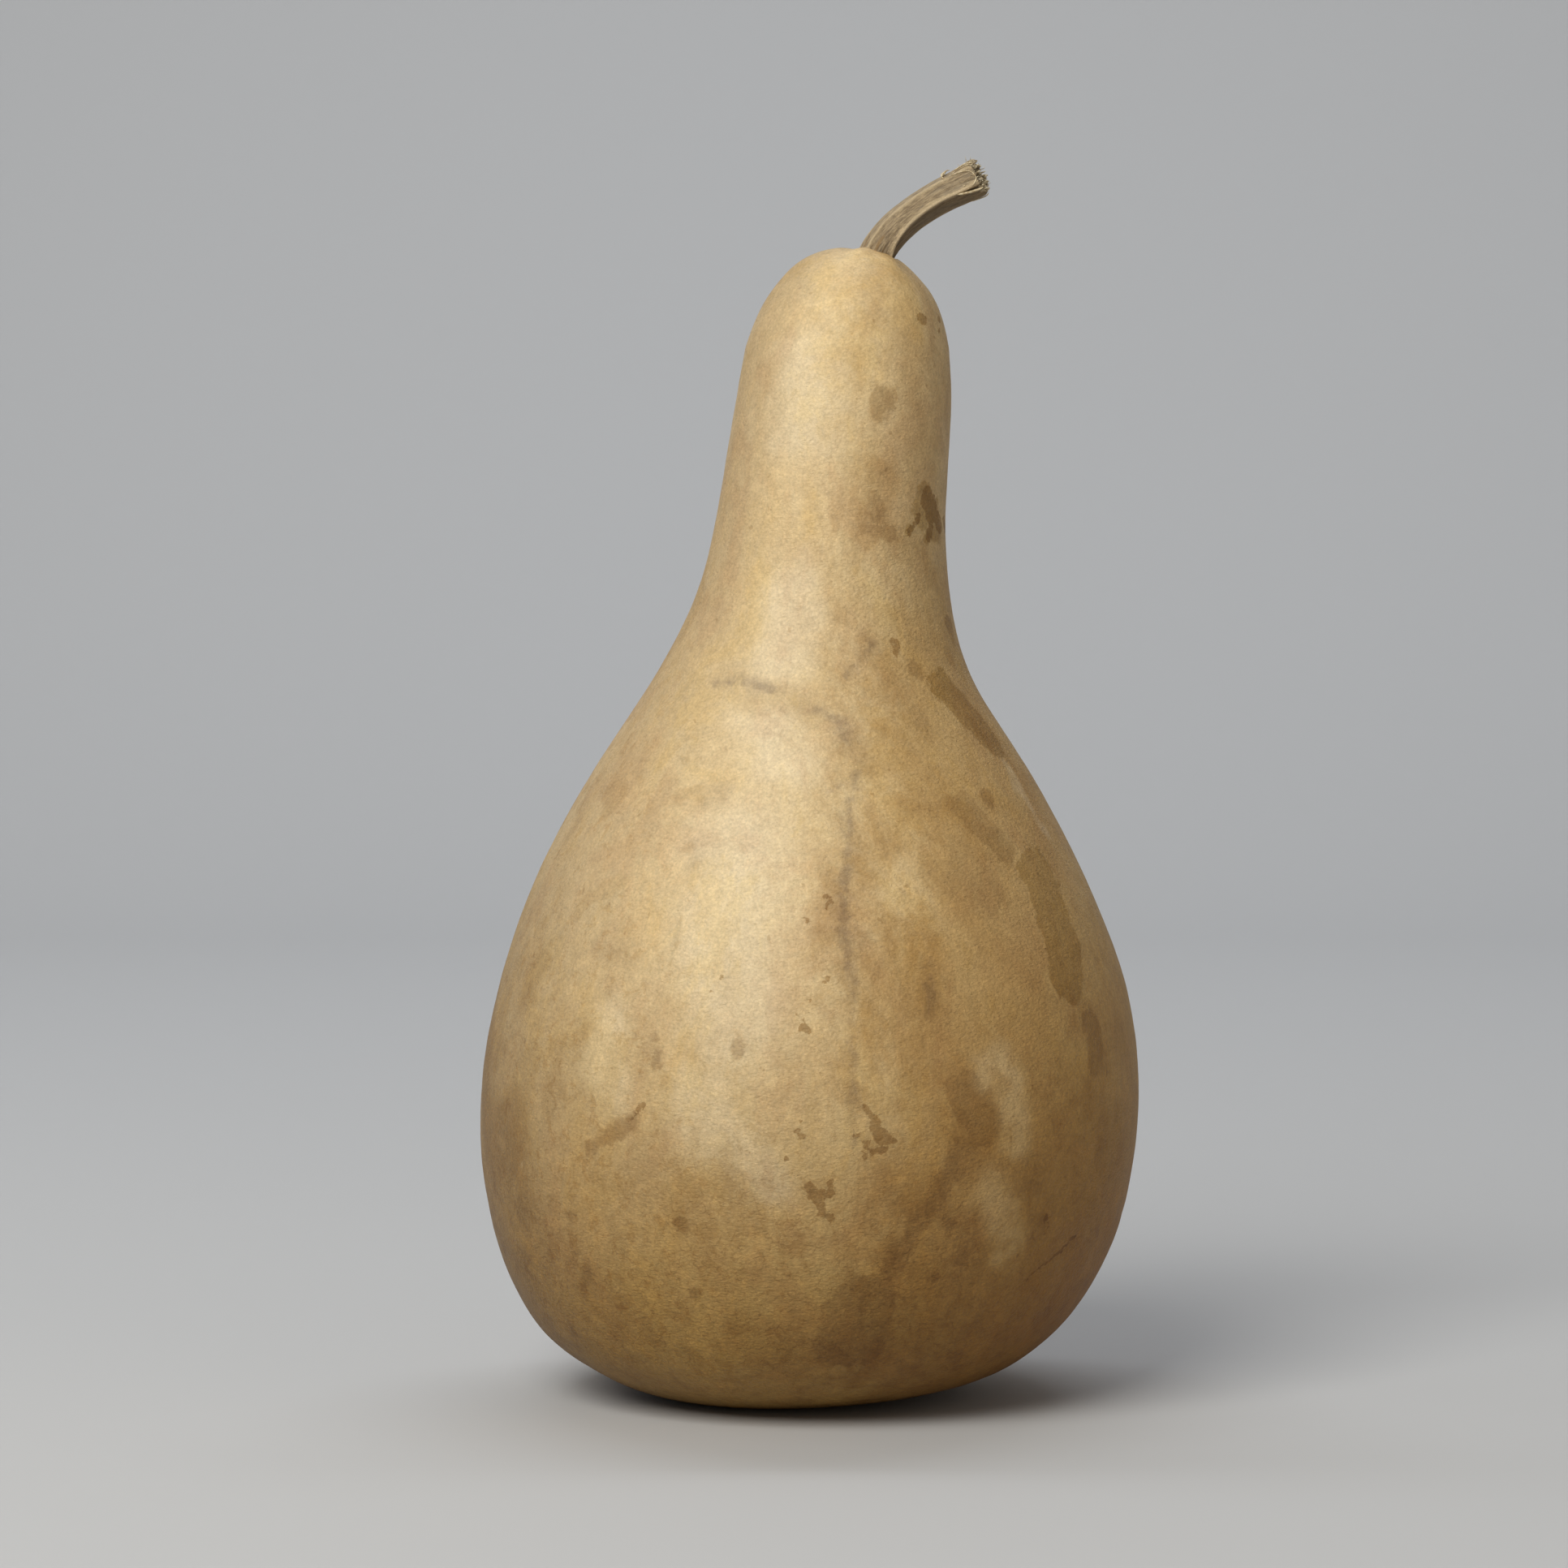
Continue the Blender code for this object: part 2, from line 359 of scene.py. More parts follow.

# %% [markdown]
# ## Where the stains are
# Stains on a real gourd have a history: mould rings left while it dried, sap runs,
# bruises and rubbed places.  They can't come from noise alone, so they are painted as
# strokes: each is a short route across the front or the back, in millimetres across and
# up, with a half width.  A few strokes also paint light and shade: two pale ones down
# the front paint part of the highlight, and a sap stroke down the left edge is partly
# painted shade.  The mesh carries how deep inside a stroke each point is, with 0
# at the edge, and the material cuts that edge with its own fine noise.  Mould, tannin,
# veil and vein have sharp edges, so their depth is kept in millimetres.  Sap, bloom and
# pale places are soft, so theirs runs from -1 far outside to 1 in the middle.

# %% Strokes on the front
MOULD = (
    ([(36, 269), (37, 268.4)], 1.5), ([(41, 269)], 1.1), ([(41, 266)], 0.7),
    ([(38.0, 224), (38.9, 221.4)], 3.2), ([(40.2, 220), (41.2, 217.4)], 2.0),
    ([(35.6, 219.6), (34.4, 217.6), (33.6, 216)], 1.1), ([(38.8, 217), (38.4, 215)], 1.4),
    ([(42.3, 219.4), (42.7, 216.6)], 1.2),
    ([(28.3, 189), (30.2, 188.6)], 0.8), ([(30, 188), (30, 186)], 0.6),
    ([(21.9, 79.9), (24.2, 76.9)], 1.0), ([(23.6, 76.2), (25.4, 72.8)], 1.45),
    ([(25.6, 74.4), (28.2, 72.2)], 0.9), ([(19.8, 73.2), (22.2, 72.0)], 0.9),
    ([(21.2, 69.7), (26.4, 70.2)], 0.7), ([(21.4, 69.6), (21.6, 67.4)], 0.65),
    ([(8.2, 61.2), (10.6, 58.8)], 1.5), ([(10.8, 60)], 1.5), ([(13.2, 62.4), (13.8, 60.2)], 0.8),
    ([(9.4, 59.4), (13.0, 59.4)], 0.9), ([(10.4, 58.2), (11.4, 56.2)], 1.0),
    ([(11.0, 55.2), (13.4, 54.3)], 1.1), ([(8.4, 56.8)], 0.5),
    ([(5.4, 74.6), (7.2, 73.4)], 0.9), ([(6.6, 76.8)], 0.6), ([(3, 68)], 0.6), ([(-6, 69)], 0.5),
    ([(-15, 80)], 0.6), ([(73, 45.4), (68.6, 41.6), (63, 38), (59.6, 35)], 0.45),
    ([(12.2, 129.1), (13.6, 128), (15.7, 127)], 0.5), ([(12.4, 126.5), (13.6, 127.6)], 0.45),
    ([(7.2, 124.1), (8.1, 123.7)], 0.7), ([(6.9, 98.8), (8.0, 98)], 0.75), ([(7.1, 100.6)], 0.4),
    ([(12.7, 110.6), (12, 109.4)], 0.4), ([(8.8, 105), (10.3, 104.3)], 0.45),
    ([(4.8, 102.4), (5.9, 101.8)], 0.4), ([(-30.8, 80.2), (-31.6, 78.6)], 0.9),
    ([(65, 51), (65.6, 49)], 0.9), ([(-12, 110)], 0.5), ([(-15, 107)], 0.5),
    ([(-33.2, 77), (-34.2, 76)], 0.6), ([(-24, 66)], 0.5),
)
TANNIN = (
    ([(37.4, 224), (37.0, 219.6)], 4.4), ([(39.6, 221), (40.2, 217)], 4.0),
    ([(38.8, 217), (38.2, 214.6)], 2.2),
    ([(36, 220), (34.4, 217.6), (33.4, 215.8)], 1.6),
    ([(64.6, 132.5), (66.3, 128.5), (70, 116), (71, 109)], 7.8),
    ([(42.5, 177.5), (47.5, 170.8), (53, 164.6)], 6.2),
)
VEIL = (
    ([(-8.2, 94.6), (-7.6, 93.2)], 2.3), ([(26.2, 249.6), (26.4, 246)], 3.4),
    ([(24.4, 223.6), (25.4, 220)], 2.6), ([(22, 217.6), (28, 215.4)], 1.8),
    ([(51.6, 151.9)], 2.6), ([(46, 149.4), (51, 144), (56, 139)], 4.6),
    ([(-33.6, 76.4), (-37.6, 73)], 2.2), ([(-40.4, 70.6), (-43, 68)], 1.5), ([(-21.8, 51.2)], 2.2),
    ([(-48.9, 20.7)], 2.6), ([(-44.9, 36.4)], 1.9), ([(-48.6, 52.2)], 2.0), ([(-18, 34.6)], 2.4),
    ([(21, 33), (18, 23)], 8.5), ([(-28, 97.4), (-28, 95.6)], 0.9),
    ([(-27.6, 92.4), (-28, 88.6)], 1.0), ([(35, 182)], 2.2), ([(43.4, 193)], 2.4),
    ([(45, 70), (39.5, 60), (33, 50), (28, 42)], 2.9), ([(41, 53.4), (41.4, 50.6)], 2.0),
    ([(45, 44.6), (43.6, 42.4)], 2.2), ([(38, 39.4)], 1.7), ([(63, 55)], 1.6),
    ([(46, 83), (50, 76)], 5.6), ([(-56, 44)], 2.0), ([(77, 96), (78, 88)], 5.0),
)
VEIN = (
    ([(11, 172.6), (14, 170.8), (16.2, 169), (17.4, 165.6)], 1.7),
    ([(19.4, 157), (18.3, 149), (17.6, 140.6), (17.3, 131), (16.9, 124)], 0.9),
    ([(16.8, 123.4), (16.5, 119), (17, 115.4)], 1.7),
    ([(17, 115), (18.8, 110.6), (18.5, 100), (18.7, 88.6), (19, 72)], 0.8),
    ([(36.3, 112.2), (37.2, 106), (36.8, 101.6)], 1.4), ([(12.5, 153), (16, 154.5), (20, 155.5)], 0.7),
    ([(-14, 178.6), (-8, 179.6), (0, 177.4)], 1.4), ([(24, 189), (21, 184.6), (17.4, 180.4)], 0.8),
)
SAP = (
    ([(26, 250), (25, 246)], 4.0), ([(25, 227), (26, 217)], 4.4), ([(18, 223), (22, 215)], 2.6),
    ([(37, 209), (38, 205)], 3.8), ([(43, 193)], 3.4), ([(43.5, 184)], 3.0),
    ([(44, 176), (50, 168), (57.5, 160)], 6.0), ([(51, 152)], 4.0),
    ([(46, 146), (53, 140), (58, 135)], 5.0),
    ([(76, 98), (78, 84), (79, 70)], 7.0), ([(46, 86), (51, 80), (50, 74)], 6.5),
    ([(46, 70), (40, 62), (34, 52), (28, 44)], 4.6), ([(20, 32), (18, 24)], 11.0),
    ([(-20, 197), (-28, 186)], 7.0), ([(-46, 158), (-50, 152)], 5.0), ([(-22, 152)], 3.0),
    ([(-64, 74), (-62, 63)], 7.0), ([(-22, 50)], 2.6), ([(40, 53)], 3.0),
    ([(-56, 112), (-58, 104)], 5.0), ([(-52, 92), (-54, 80)], 4.0), ([(-67, 90), (-70, 78)], 4.0),
    # The first stroke on the next line runs down the left edge; its darkening is partly painted shade
    # of that edge.
    ([(-70, 100), (-71, 84), (-69, 62)], 8.0), ([(-44, 34), (-36, 26)], 6.0),
    ([(-10, 64), (-4, 52)], 4.0), ([(30, 120), (36, 104)], 5.0),
    ([(28, 150), (38, 146)], 5.0), ([(66, 52), (65, 47)], 2.0), ([(24, 146), (24, 132)], 4.0),
    ([(-33, 77.5), (-38, 74.5), (-42, 71)], 3.4), ([(8, 27), (-4, 24)], 8.0),
    ([(-8, 94)], 3.4), ([(-37, 156), (-44, 143)], 3.2), ([(-17, 153.5), (-22, 152)], 2.2),
    ([(-19, 140), (-19, 136)], 1.8), ([(-39, 131), (-46, 126)], 2.6), ([(-34, 100.6)], 1.6),
    ([(-44, 96), (-47, 91)], 3.0), ([(-29.6, 92), (-29.6, 87)], 1.6),
)
BLOOM = (
    ([(-8, 180), (-1, 177), (9, 173.5), (16, 169)], 5.0), ([(16, 170), (19, 160)], 3.5),
    ([(18, 148), (17, 132), (17, 116), (18, 104), (19, 92)], 2.2), ([(17, 120)], 3.2),
    ([(23, 191), (21, 185), (17, 180)], 1.6), ([(-14, 153)], 4.0), ([(-18, 137)], 3.5),
    ([(-45, 152), (-50, 142)], 4.0), ([(-28, 91.5)], 2.4), ([(-64, 68), (-60, 56)], 8.0),
    ([(-30, 64), (-22, 60)], 9.0), ([(52, 128), (44, 136)], 6.0), ([(30, 176), (36, 168)], 5.0),
    ([(62, 60), (66, 52)], 6.0), ([(-10, 65), (0, 60)], 6.0), ([(-44, 118), (-36, 114)], 3.5),
    ([(-71, 100), (-71, 72)], 8.0), ([(-46, 158), (-58, 134)], 3.5),
)
# Two strokes here, the long one down the belly just left of the middle and the one 160 to 168 mm up,
# paint part of the highlight in cream.
PALE_AND_HIGHLIGHT = (
    ([(52, 90), (58, 82), (57, 70)], 5.5), ([(-8, 142), (-12, 120), (-8, 98)], 14.0),
    ([(4, 198), (2, 186)], 9.0), ([(6, 256), (8, 240)], 9.0), ([(-4, 168), (0, 160)], 9.0),
    ([(-38, 96), (-42, 84)], 8.0), ([(57, 158), (66, 144)], 3.0),
    ([(-18, 84), (-10, 70), (0, 62)], 9.0), ([(52, 58), (58, 48), (56, 40)], 6.0),
    ([(74.5, 47.4), (74.2, 45)], 3.2), ([(-58, 98)], 1.0), ([(-60, 62)], 1.2),
)
strokes_ahead = (MOULD, TANNIN, VEIL, VEIN, SAP, BLOOM, PALE_AND_HIGHLIGHT)
print("strokes on the front:", sum(len(strokes) for strokes in strokes_ahead))

# %% [markdown]
# The back is stained too, in the same manner, by a few strokes of each kind.

# %% Strokes on the back
MOULD_BACK = (
    ([(-20, 96), (-17, 93)], 2.2), ([(34, 120)], 1.4), ([(8, 64), (12, 60), (11, 56)], 1.8),
    ([(20, 214)], 1.6), ([(2, 240), (3, 237)], 1.3), ([(-36, 58)], 1.1), ([(44, 80)], 1.5),
    ([(-8, 150)], 1.0), ([(28, 176), (30, 173)], 1.5), ([(-46, 104)], 1.3),
)
SAP_BACK = (
    ([(-52, 130), (-60, 112), (-62, 92)], 5.0), ([(14, 236), (16, 226)], 3.2),
    ([(30, 150), (38, 140), (40, 126)], 5.5), ([(-14, 70), (-4, 62)], 6.0),
    ([(56, 70), (50, 54), (40, 44)], 6.0), ([(4, 196)], 4.0), ([(-30, 36), (-20, 30)], 7.0),
    ([(20, 96)], 5.0), ([(-32, 162)], 4.5),
)
TANNIN_BACK = (
    ([(-56, 122), (-60, 108), (-62, 94)], 6.0), ([(34, 146), (39, 134)], 4.0),
    ([(10, 236), (12, 229)], 3.0), ([(50, 56), (42, 46)], 5.0), ([(-8, 66), (-2, 60)], 3.6),
    ([(-26, 34), (-18, 30)], 5.0),
)
VEIL_BACK = (
    ([(-6, 214), (-4, 208)], 3.0), ([(24, 160)], 2.6), ([(-30, 140), (-26, 132)], 2.8),
    ([(40, 96)], 2.4), ([(-8, 36), (0, 30)], 3.4), ([(-50, 70)], 2.6), ([(16, 120)], 2.0),
    ([(52, 112)], 3.0), ([(-16, 254)], 2.4), ([(62, 84)], 2.0),
)
VEIN_BACK = (
    ([(8, 168), (7, 150), (8, 128), (9, 104), (8, 84)], 0.8), ([(8, 140), (8, 132)], 1.5),
    ([(-38, 150), (-42, 132)], 1.0),
)
BLOOM_BACK = (
    ([(0, 176), (12, 170), (24, 172)], 5.0), ([(8, 150), (7, 128), (9, 104)], 2.6),
    ([(-40, 82), (-46, 66)], 7.0), ([(36, 62), (28, 52)], 7.0), ([(-22, 118)], 5.0),
)
PALE_BACK = (
    ([(-10, 132), (-12, 104)], 12.0), ([(12, 250), (10, 238)], 7.0),
    ([(34, 100), (30, 84)], 9.0), ([(0, 190)], 6.0),
)


strokes_behind = (MOULD_BACK, SAP_BACK, TANNIN_BACK, VEIL_BACK, VEIN_BACK, BLOOM_BACK, PALE_BACK)
print("strokes on the back:", sum(len(strokes) for strokes in strokes_behind))

# %% [markdown]
# Noise pushes the points about before their depth is measured, or the strokes would look
# like strokes.  Sharp ones are pushed less, because they are small.

# %% Paint the strokes
SHARP_REACH = 4.0            # millimetres outside a sharp stroke that are still told apart
SWAYS = ((16.0, 4.5), (6.0, 2.4))    # width and reach of the noise that pushes points about


def wandering(points):
    """The points pushed about by noise."""
    pushed = points.copy()
    for size, reach in SWAYS:
        for axis in range(3):
            pushed[..., axis] += reach * MM * noise_at(points, size * MM, size + axis, 2)
    return pushed


def depth_in(points, strokes, front, sharp):
    """How deep each point lies in its nearest stroke."""
    depth = np.full(points.shape[:-1], -SHARP_REACH if sharp else -1.0)
    for route, half_width in strokes:
        line = [drop_on_skin(x, z, front, skin_tree) for x, z in route]
        inside = half_width - distance_to_route(points, line) / MM
        depth = np.maximum(depth, inside if sharp else np.clip(inside / half_width, -1, 1))
    return depth


def store(piece, name, values):
    """Keep a number or a vector for each point of a piece, for its finish to read."""
    values = np.asarray(values, np.float32)
    kind, field = ("FLOAT", "value") if values.ndim == 1 else ("FLOAT_VECTOR", "vector")
    layer = piece.data.attributes.new(name, kind, "POINT")
    layer.data.foreach_set(field, values.ravel())


def paint(name, front, back, sharp=False, push=1.0):
    """Store the depth in both sets of strokes on the skin's points."""
    places = skin_places + (pushed_places - skin_places) * push
    depth = np.maximum(
        depth_in(places, front, True, sharp), depth_in(places, back, False, sharp))
    store(gourd_skin, name, depth)
    print(name, "covers", round(100 * float((depth > 0).mean()), 1), "% of the points")


skin_places = np.zeros(len(gourd_skin.data.vertices) * 3)
gourd_skin.data.vertices.foreach_get("co", skin_places)
skin_places = skin_places.reshape(-1, 3)
pushed_places = wandering(skin_places)
skin_tree = BVHTree.FromPolygons(
    [Vector(p) for p in skin_places.tolist()],
    [tuple(p.vertices) for p in gourd_skin.data.polygons],
)
# Which way each column faces; the skin's finish uses it only for the painted shade and painted grey
# sheen on the left edge.
columns_facing = np.repeat(outward[:, 0], full_skin.shape[1])
store(gourd_skin, "facing", np.append(columns_facing, (0, 0)))       # -1 left, 1 right
paint("mould", MOULD, MOULD_BACK, sharp=True, push=0.0)
paint("tannin", TANNIN, TANNIN_BACK, sharp=True, push=0.25)
paint("veil", VEIL, VEIL_BACK, sharp=True, push=0.25)
paint("vein", VEIN, VEIN_BACK, sharp=True, push=0.1)
paint("sap", SAP, SAP_BACK)
paint("bloom", BLOOM, BLOOM_BACK)
paint("pale", PALE_AND_HIGHLIGHT, PALE_BACK)

# %% [markdown]
# ## Shader maths that reads like maths
# A material is a graph of nodes.  Clicking them together is slow to read back, so a
# socket is wrapped in a small class, `Wire`, whose + - * add Math nodes.  `Finish` is
# a material under construction, and its `node` method is the only way to add any other
# node: it takes the node's type, its settings and the values or wires of its sockets.

# %% Wires and finishes


class Wire:
    """One output socket of a material's node."""

    def __init__(self, finish, socket):
        self.finish = finish
        self.socket = socket

    def _math(self, operation, first, second):
        settings = {"operation": operation}
        return self.finish.node("ShaderNodeMath", settings, {0: first, 1: second})

    def __add__(self, other):
        return self._math("ADD", self, other)

    def __radd__(self, other):
        return self._math("ADD", other, self)

    def __sub__(self, other):
        return self._math("SUBTRACT", self, other)

    def __rsub__(self, other):
        return self._math("SUBTRACT", other, self)

    def __mul__(self, other):
        return self._math("MULTIPLY", self, other)

    def __rmul__(self, other):
        return self._math("MULTIPLY", other, self)


class Finish:
    """A material under construction, around one Principled shader."""

    def __init__(self, name):
        self.material = bpy.data.materials.new(name)
        self.material.use_nodes = True
        self.tree = self.material.node_tree
        self.surface = self.tree.nodes["Principled BSDF"]

    def node(self, kind, settings, sockets, out=0):
        """Add a node: settings first, then its sockets; returns the wire of one output."""
        made = self.tree.nodes.new(kind)
        for key, value in settings.items():
            setattr(made, key, value)
        for key, value in sockets.items():
            self._feed(made.inputs[key], value)
        return Wire(self, made.outputs[out])

    def _feed(self, socket, value):
        if isinstance(value, Wire):
            self.tree.links.new(value.socket, socket)
        elif socket.type == "RGBA" and len(value) == 3:
            socket.default_value = (*value, 1.0)
        else:
            socket.default_value = value

    def shader(self, **sockets):
        """Feed the Principled shader; underscores in names stand for spaces."""
        for key, value in sockets.items():
            self._feed(self.surface.inputs[key.replace("_", " ")], value)


print("wires and finishes are ready")

# %% [markdown]
# ## A few words of shader vocabulary
# Each helper adds a node or two, to the finish that its first wire belongs to.
# `millimetres` is the object's own coordinate system, so a noise that is 5 wide is 5 mm
# wide on the real gourd.  `edge` turns a value into a mask with a soft or a hard step,
# and `dyed` lays stains over a colour, one after another.

# %% Vocabulary


def srgb(red, green, blue):
    """A screen colour from 0 to 255 as linear light."""
    shares = [channel / 255 for channel in (red, green, blue)]
    return tuple(c / 12.92 if c <= 0.04045 else ((c + 0.055) / 1.055) ** 2.4 for c in shares)


def scaled(vector, factor):
    sockets = {0: vector, 3: factor}
    return vector.finish.node("ShaderNodeVectorMath", {"operation": "SCALE"}, sockets)


def stretched(place, factors):
    sockets = {0: place, 1: factors}
    return place.finish.node("ShaderNodeVectorMath", {"operation": "MULTIPLY"}, sockets)


def shifted(place, amount):
    sockets = {0: place, 1: amount}
    return place.finish.node("ShaderNodeVectorMath", {"operation": "ADD"}, sockets)


def millimetres(finish):
    return scaled(finish.node("ShaderNodeTexCoord", {}, {}, out=3), 1 / MM)


def parts_of(place):
    """The three numbers of a vector."""
    split = place.finish.node("ShaderNodeSeparateXYZ", {}, {0: place}).socket.node
    return [Wire(place.finish, socket) for socket in split.outputs]


def grain(place, size, detail=2.0, roughness=0.5, distortion=0.0, out=0):
    """Noise from 0 to 1 whose features are about `size` wide in the units of `place`."""
    sockets = {"Vector": place, "Scale": 1.0 / size, "Detail": detail}
    sockets.update({"Roughness": roughness, "Distortion": distortion})
    return place.finish.node("ShaderNodeTexNoise", {}, sockets, out)


def cell_borders(place, size):
    """Distance from the nearest border between cells about `size` wide."""
    sockets = {"Vector": place, "Scale": 1 / size}
    return place.finish.node("ShaderNodeTexVoronoi", {"feature": "DISTANCE_TO_EDGE"}, sockets)


def edge(value, low, high, bottom=0.0, top=1.0):
    """0 below `low`, 1 above `high`, a smooth step between."""
    settings = {"interpolation_type": "SMOOTHSTEP"}
    sockets = {"Value": value, "From Min": low, "From Max": high, "To Min": bottom, "To Max": top}
    return value.finish.node("ShaderNodeMapRange", settings, sockets)


def mixed(mask, first, second, blend="MIX"):
    settings = {"data_type": "RGBA", "blend_type": blend}
    return mask.finish.node("ShaderNodeMix", settings, {0: mask, 6: first, 7: second}, out=2)


def dyed(colour, *dyes):
    """The colour multiplied by several dyes, each under its own mask."""
    for mask, dye in dyes:
        colour = mixed(mask, colour, dye, "MULTIPLY")
    return colour


def painted(finish, name):
    """A number stored on the mesh's points."""
    return finish.node("ShaderNodeAttribute", {"attribute_name": name}, {}, out=2)


def bumped(height):
    """A bent normal from a height in millimetres."""
    return height.finish.node("ShaderNodeBump", {}, {"Distance": MM, "Height": height})


print("vocabulary is ready")

# %% [markdown]
# ## The fruit's colours
# The dried skin is straw to tan, with amber on its weathered side and underneath.  The
# amber underneath is a browner tone together with painted shade, warmest on the lower
# right.  The left edge carries painted shade and a painted cool grey sheen, and two
# cream patches down the front paint part of the highlight.  Over that lie soft brown
# clouds, semi-sharp sap stains, sharp mould rings and a grey bloom.
# A ramp on one noise would look like camouflage, so several noises of different widths
# each change the colour a little, the way many seasons of drying do.

# %% Skin colour
STRAW = srgb(225, 200, 154)
TAN = srgb(208, 178, 129)
# Cream of the pale patches, which down the front paints part of the highlight.
PALE_AND_HIGHLIGHT_CREAM = srgb(234, 216, 182)
AMBER = (0.71, 0.61, 0.45)
# A grey that paints shade and a cool sheen on the left edge.
EDGE_SHADE_AND_SHEEN = (0.70, 0.66, 0.62)
# Darker amber low down and a warmer tone on the lower right: browner skin together with painted shade.
LOW_SHADE_AND_AMBER = (0.50, 0.395, 0.20)
LOW_RIGHT_SHADE_AND_WARMTH = (0.95, 0.83, 0.45)
GOLD = (1.0, 0.96, 0.82)
MAUVE = (0.87, 0.80, 0.77)

skin_finish = Finish("gourd_skin")
place = millimetres(skin_finish)
across, _, up = parts_of(place)
upright = stretched(place, (1.0, 1.0, 0.6))
facing = painted(skin_finish, "facing")

drift = grain(upright, 46.0, 3.0, 0.55)
clouds = grain(upright, 17.0, 8.0, 0.68, 0.4)
blotches = grain(place, 6.0, 6.0, 0.66, 0.3)
flecks = grain(place, 1.9, 4.0, 0.62)
fuzz = grain(place, 0.7, 2.0, 0.6)
hue_drift = grain(upright, 24.0, 8.0, 0.68, 0.5)

# Pale patches laid on in cream; two of them down the front paint part of the highlight.
pale_and_highlight_mask = edge(painted(skin_finish, "pale") + (clouds - 0.5) * 1.6, -0.4, 0.8)
base = mixed(edge(clouds, 0.30, 0.72), STRAW, TAN)
base = mixed(pale_and_highlight_mask * 0.45, base, PALE_AND_HIGHLIGHT_CREAM)

sway = (clouds - 0.5) * 40.0 + (drift - 0.5) * 40.0
spared = 1.0 - pale_and_highlight_mask * 0.25
right_wash = edge(across + sway, 9.0, 38.0) * edge(up, 170.0, 240.0, 1.0, 0.5) * spared
# Painted shade and painted cool grey sheen down the left edge, set by which way each column faces.
left_shade_and_sheen = 1.0 - edge(facing + (clouds - 0.5) * 1.2, -1.05, -0.35)
left_rim_shade_and_sheen = 1.0 - edge(facing + (blotches - 0.5) * 0.4, -1.0, -0.78)
left_rim_shade_and_sheen = left_rim_shade_and_sheen * (1.0 - edge(up, 112.0, 150.0))
# Darker and browner towards the bottom, warmest on the lower right: painted shade of the underside
# together with a browner tone.
low_shade_and_tone = (1.0 - edge(up + sway * 0.6, 12.0, 140.0)) * spared
low_right_shade_and_tone = edge(across + sway * 0.6, 34.0, 78.0) * low_shade_and_tone
base = dyed(
    base,
    (right_wash, AMBER),
    (left_shade_and_sheen * 0.9, EDGE_SHADE_AND_SHEEN),
    (left_rim_shade_and_sheen * 0.6, EDGE_SHADE_AND_SHEEN),
    (low_shade_and_tone, LOW_SHADE_AND_AMBER),
    (low_right_shade_and_tone, LOW_RIGHT_SHADE_AND_WARMTH),
    (edge(hue_drift, 0.50, 0.62) * 0.6, MAUVE),
    (edge(hue_drift, 0.50, 0.38) * 0.7, GOLD),
)
print("base colours are mixed")

# %% [markdown]
# Stains darken what is under them, as tea does on paper, so they multiply the colour.
# The noise that is added to a stroke's depth before its edge is cut gives it a ragged
# outline at two scales.

# %% Masks of the painted stains
ragged = (clouds - 0.5) * 1.6 + (blotches - 0.5) * 1.8 + (flecks - 0.5) * 0.5
jagged = grain(place, 2.4, 4.0, 0.6, 0.5)

sap_mask = edge(painted(skin_finish, "sap") + ragged, -0.25, 0.35)
bloom_mask = edge(painted(skin_finish, "bloom") + ragged, -0.7, 0.9)
vein_depth = painted(skin_finish, "vein") + (blotches - 0.5) * 9.0 + (flecks - 0.5) * 5.0
vein_mask = edge(vein_depth, -1.2, 2.0)
veil_depth = painted(skin_finish, "veil") + ragged * 3.4 + (jagged - 0.5) * 3.0
veil_mask = edge(veil_depth, -0.4, 0.7) * (0.28 + blotches * 0.70)
tannin_depth = painted(skin_finish, "tannin") + ragged * 3.2 + (jagged - 0.5) * 2.6
tannin_mask = edge(tannin_depth, -0.3, 0.9) * (0.24 + blotches * 0.78)
mould_depth = painted(skin_finish, "mould") + (jagged - 0.5) * 3.0 + (flecks - 0.5) * 2.0
mould_mask = edge(mould_depth, -0.10, 0.25)
print("painted masks: 6")

# %% [markdown]
# Between the painted stains the skin is mottled everywhere, most of all low down and on
# the left.  Low down it has also crackled, where it stood on damp ground.  The blossom's
# scar underneath is a dark spot in a brown halo.

# %% Masks of mottling, crackle and the blossom's scar
CRACKLE_CELL, FINE_CELL = 2.7, 1.25      # millimetres

wander = edge(grain(upright, 10.0, 8.0, 0.7, 0.8), 0.50, 0.64)
mottles = grain(place, 7.0, 9.0, 0.72, 0.8)
dark_mottle = edge(mottles, 0.53, 0.59) * (0.10 + low_shade_and_tone * 0.42)
pale_mottle = (1.0 - edge(mottles, 0.41, 0.48)) * (0.40 + low_shade_and_tone * 0.55)
blot_zone = (1.0 - edge(across + sway, -40.0, 0.0)) * 0.34 + low_shade_and_tone * 0.18
blots = edge(grain(place, 4.2, 8.0, 0.74, 0.6), 0.54, 0.61) * blot_zone
specks = edge(grain(place, 2.6, 2.0, 0.5), 0.70, 0.76)

bent = shifted(place, scaled(grain(place, 3.4, 4.0, 0.6, out=1), 2.4))
crackle_line = 1.0 - edge(cell_borders(bent, CRACKLE_CELL), 0.0, 0.10)
crackle_zone = 1.0 - edge(up + (drift - 0.5) * 90.0, 44.0, 84.0)
crackle = crackle_line * crackle_zone * edge(jagged, 0.42, 0.60)
fine_line = 1.0 - edge(cell_borders(bent, FINE_CELL), 0.0, 0.16)

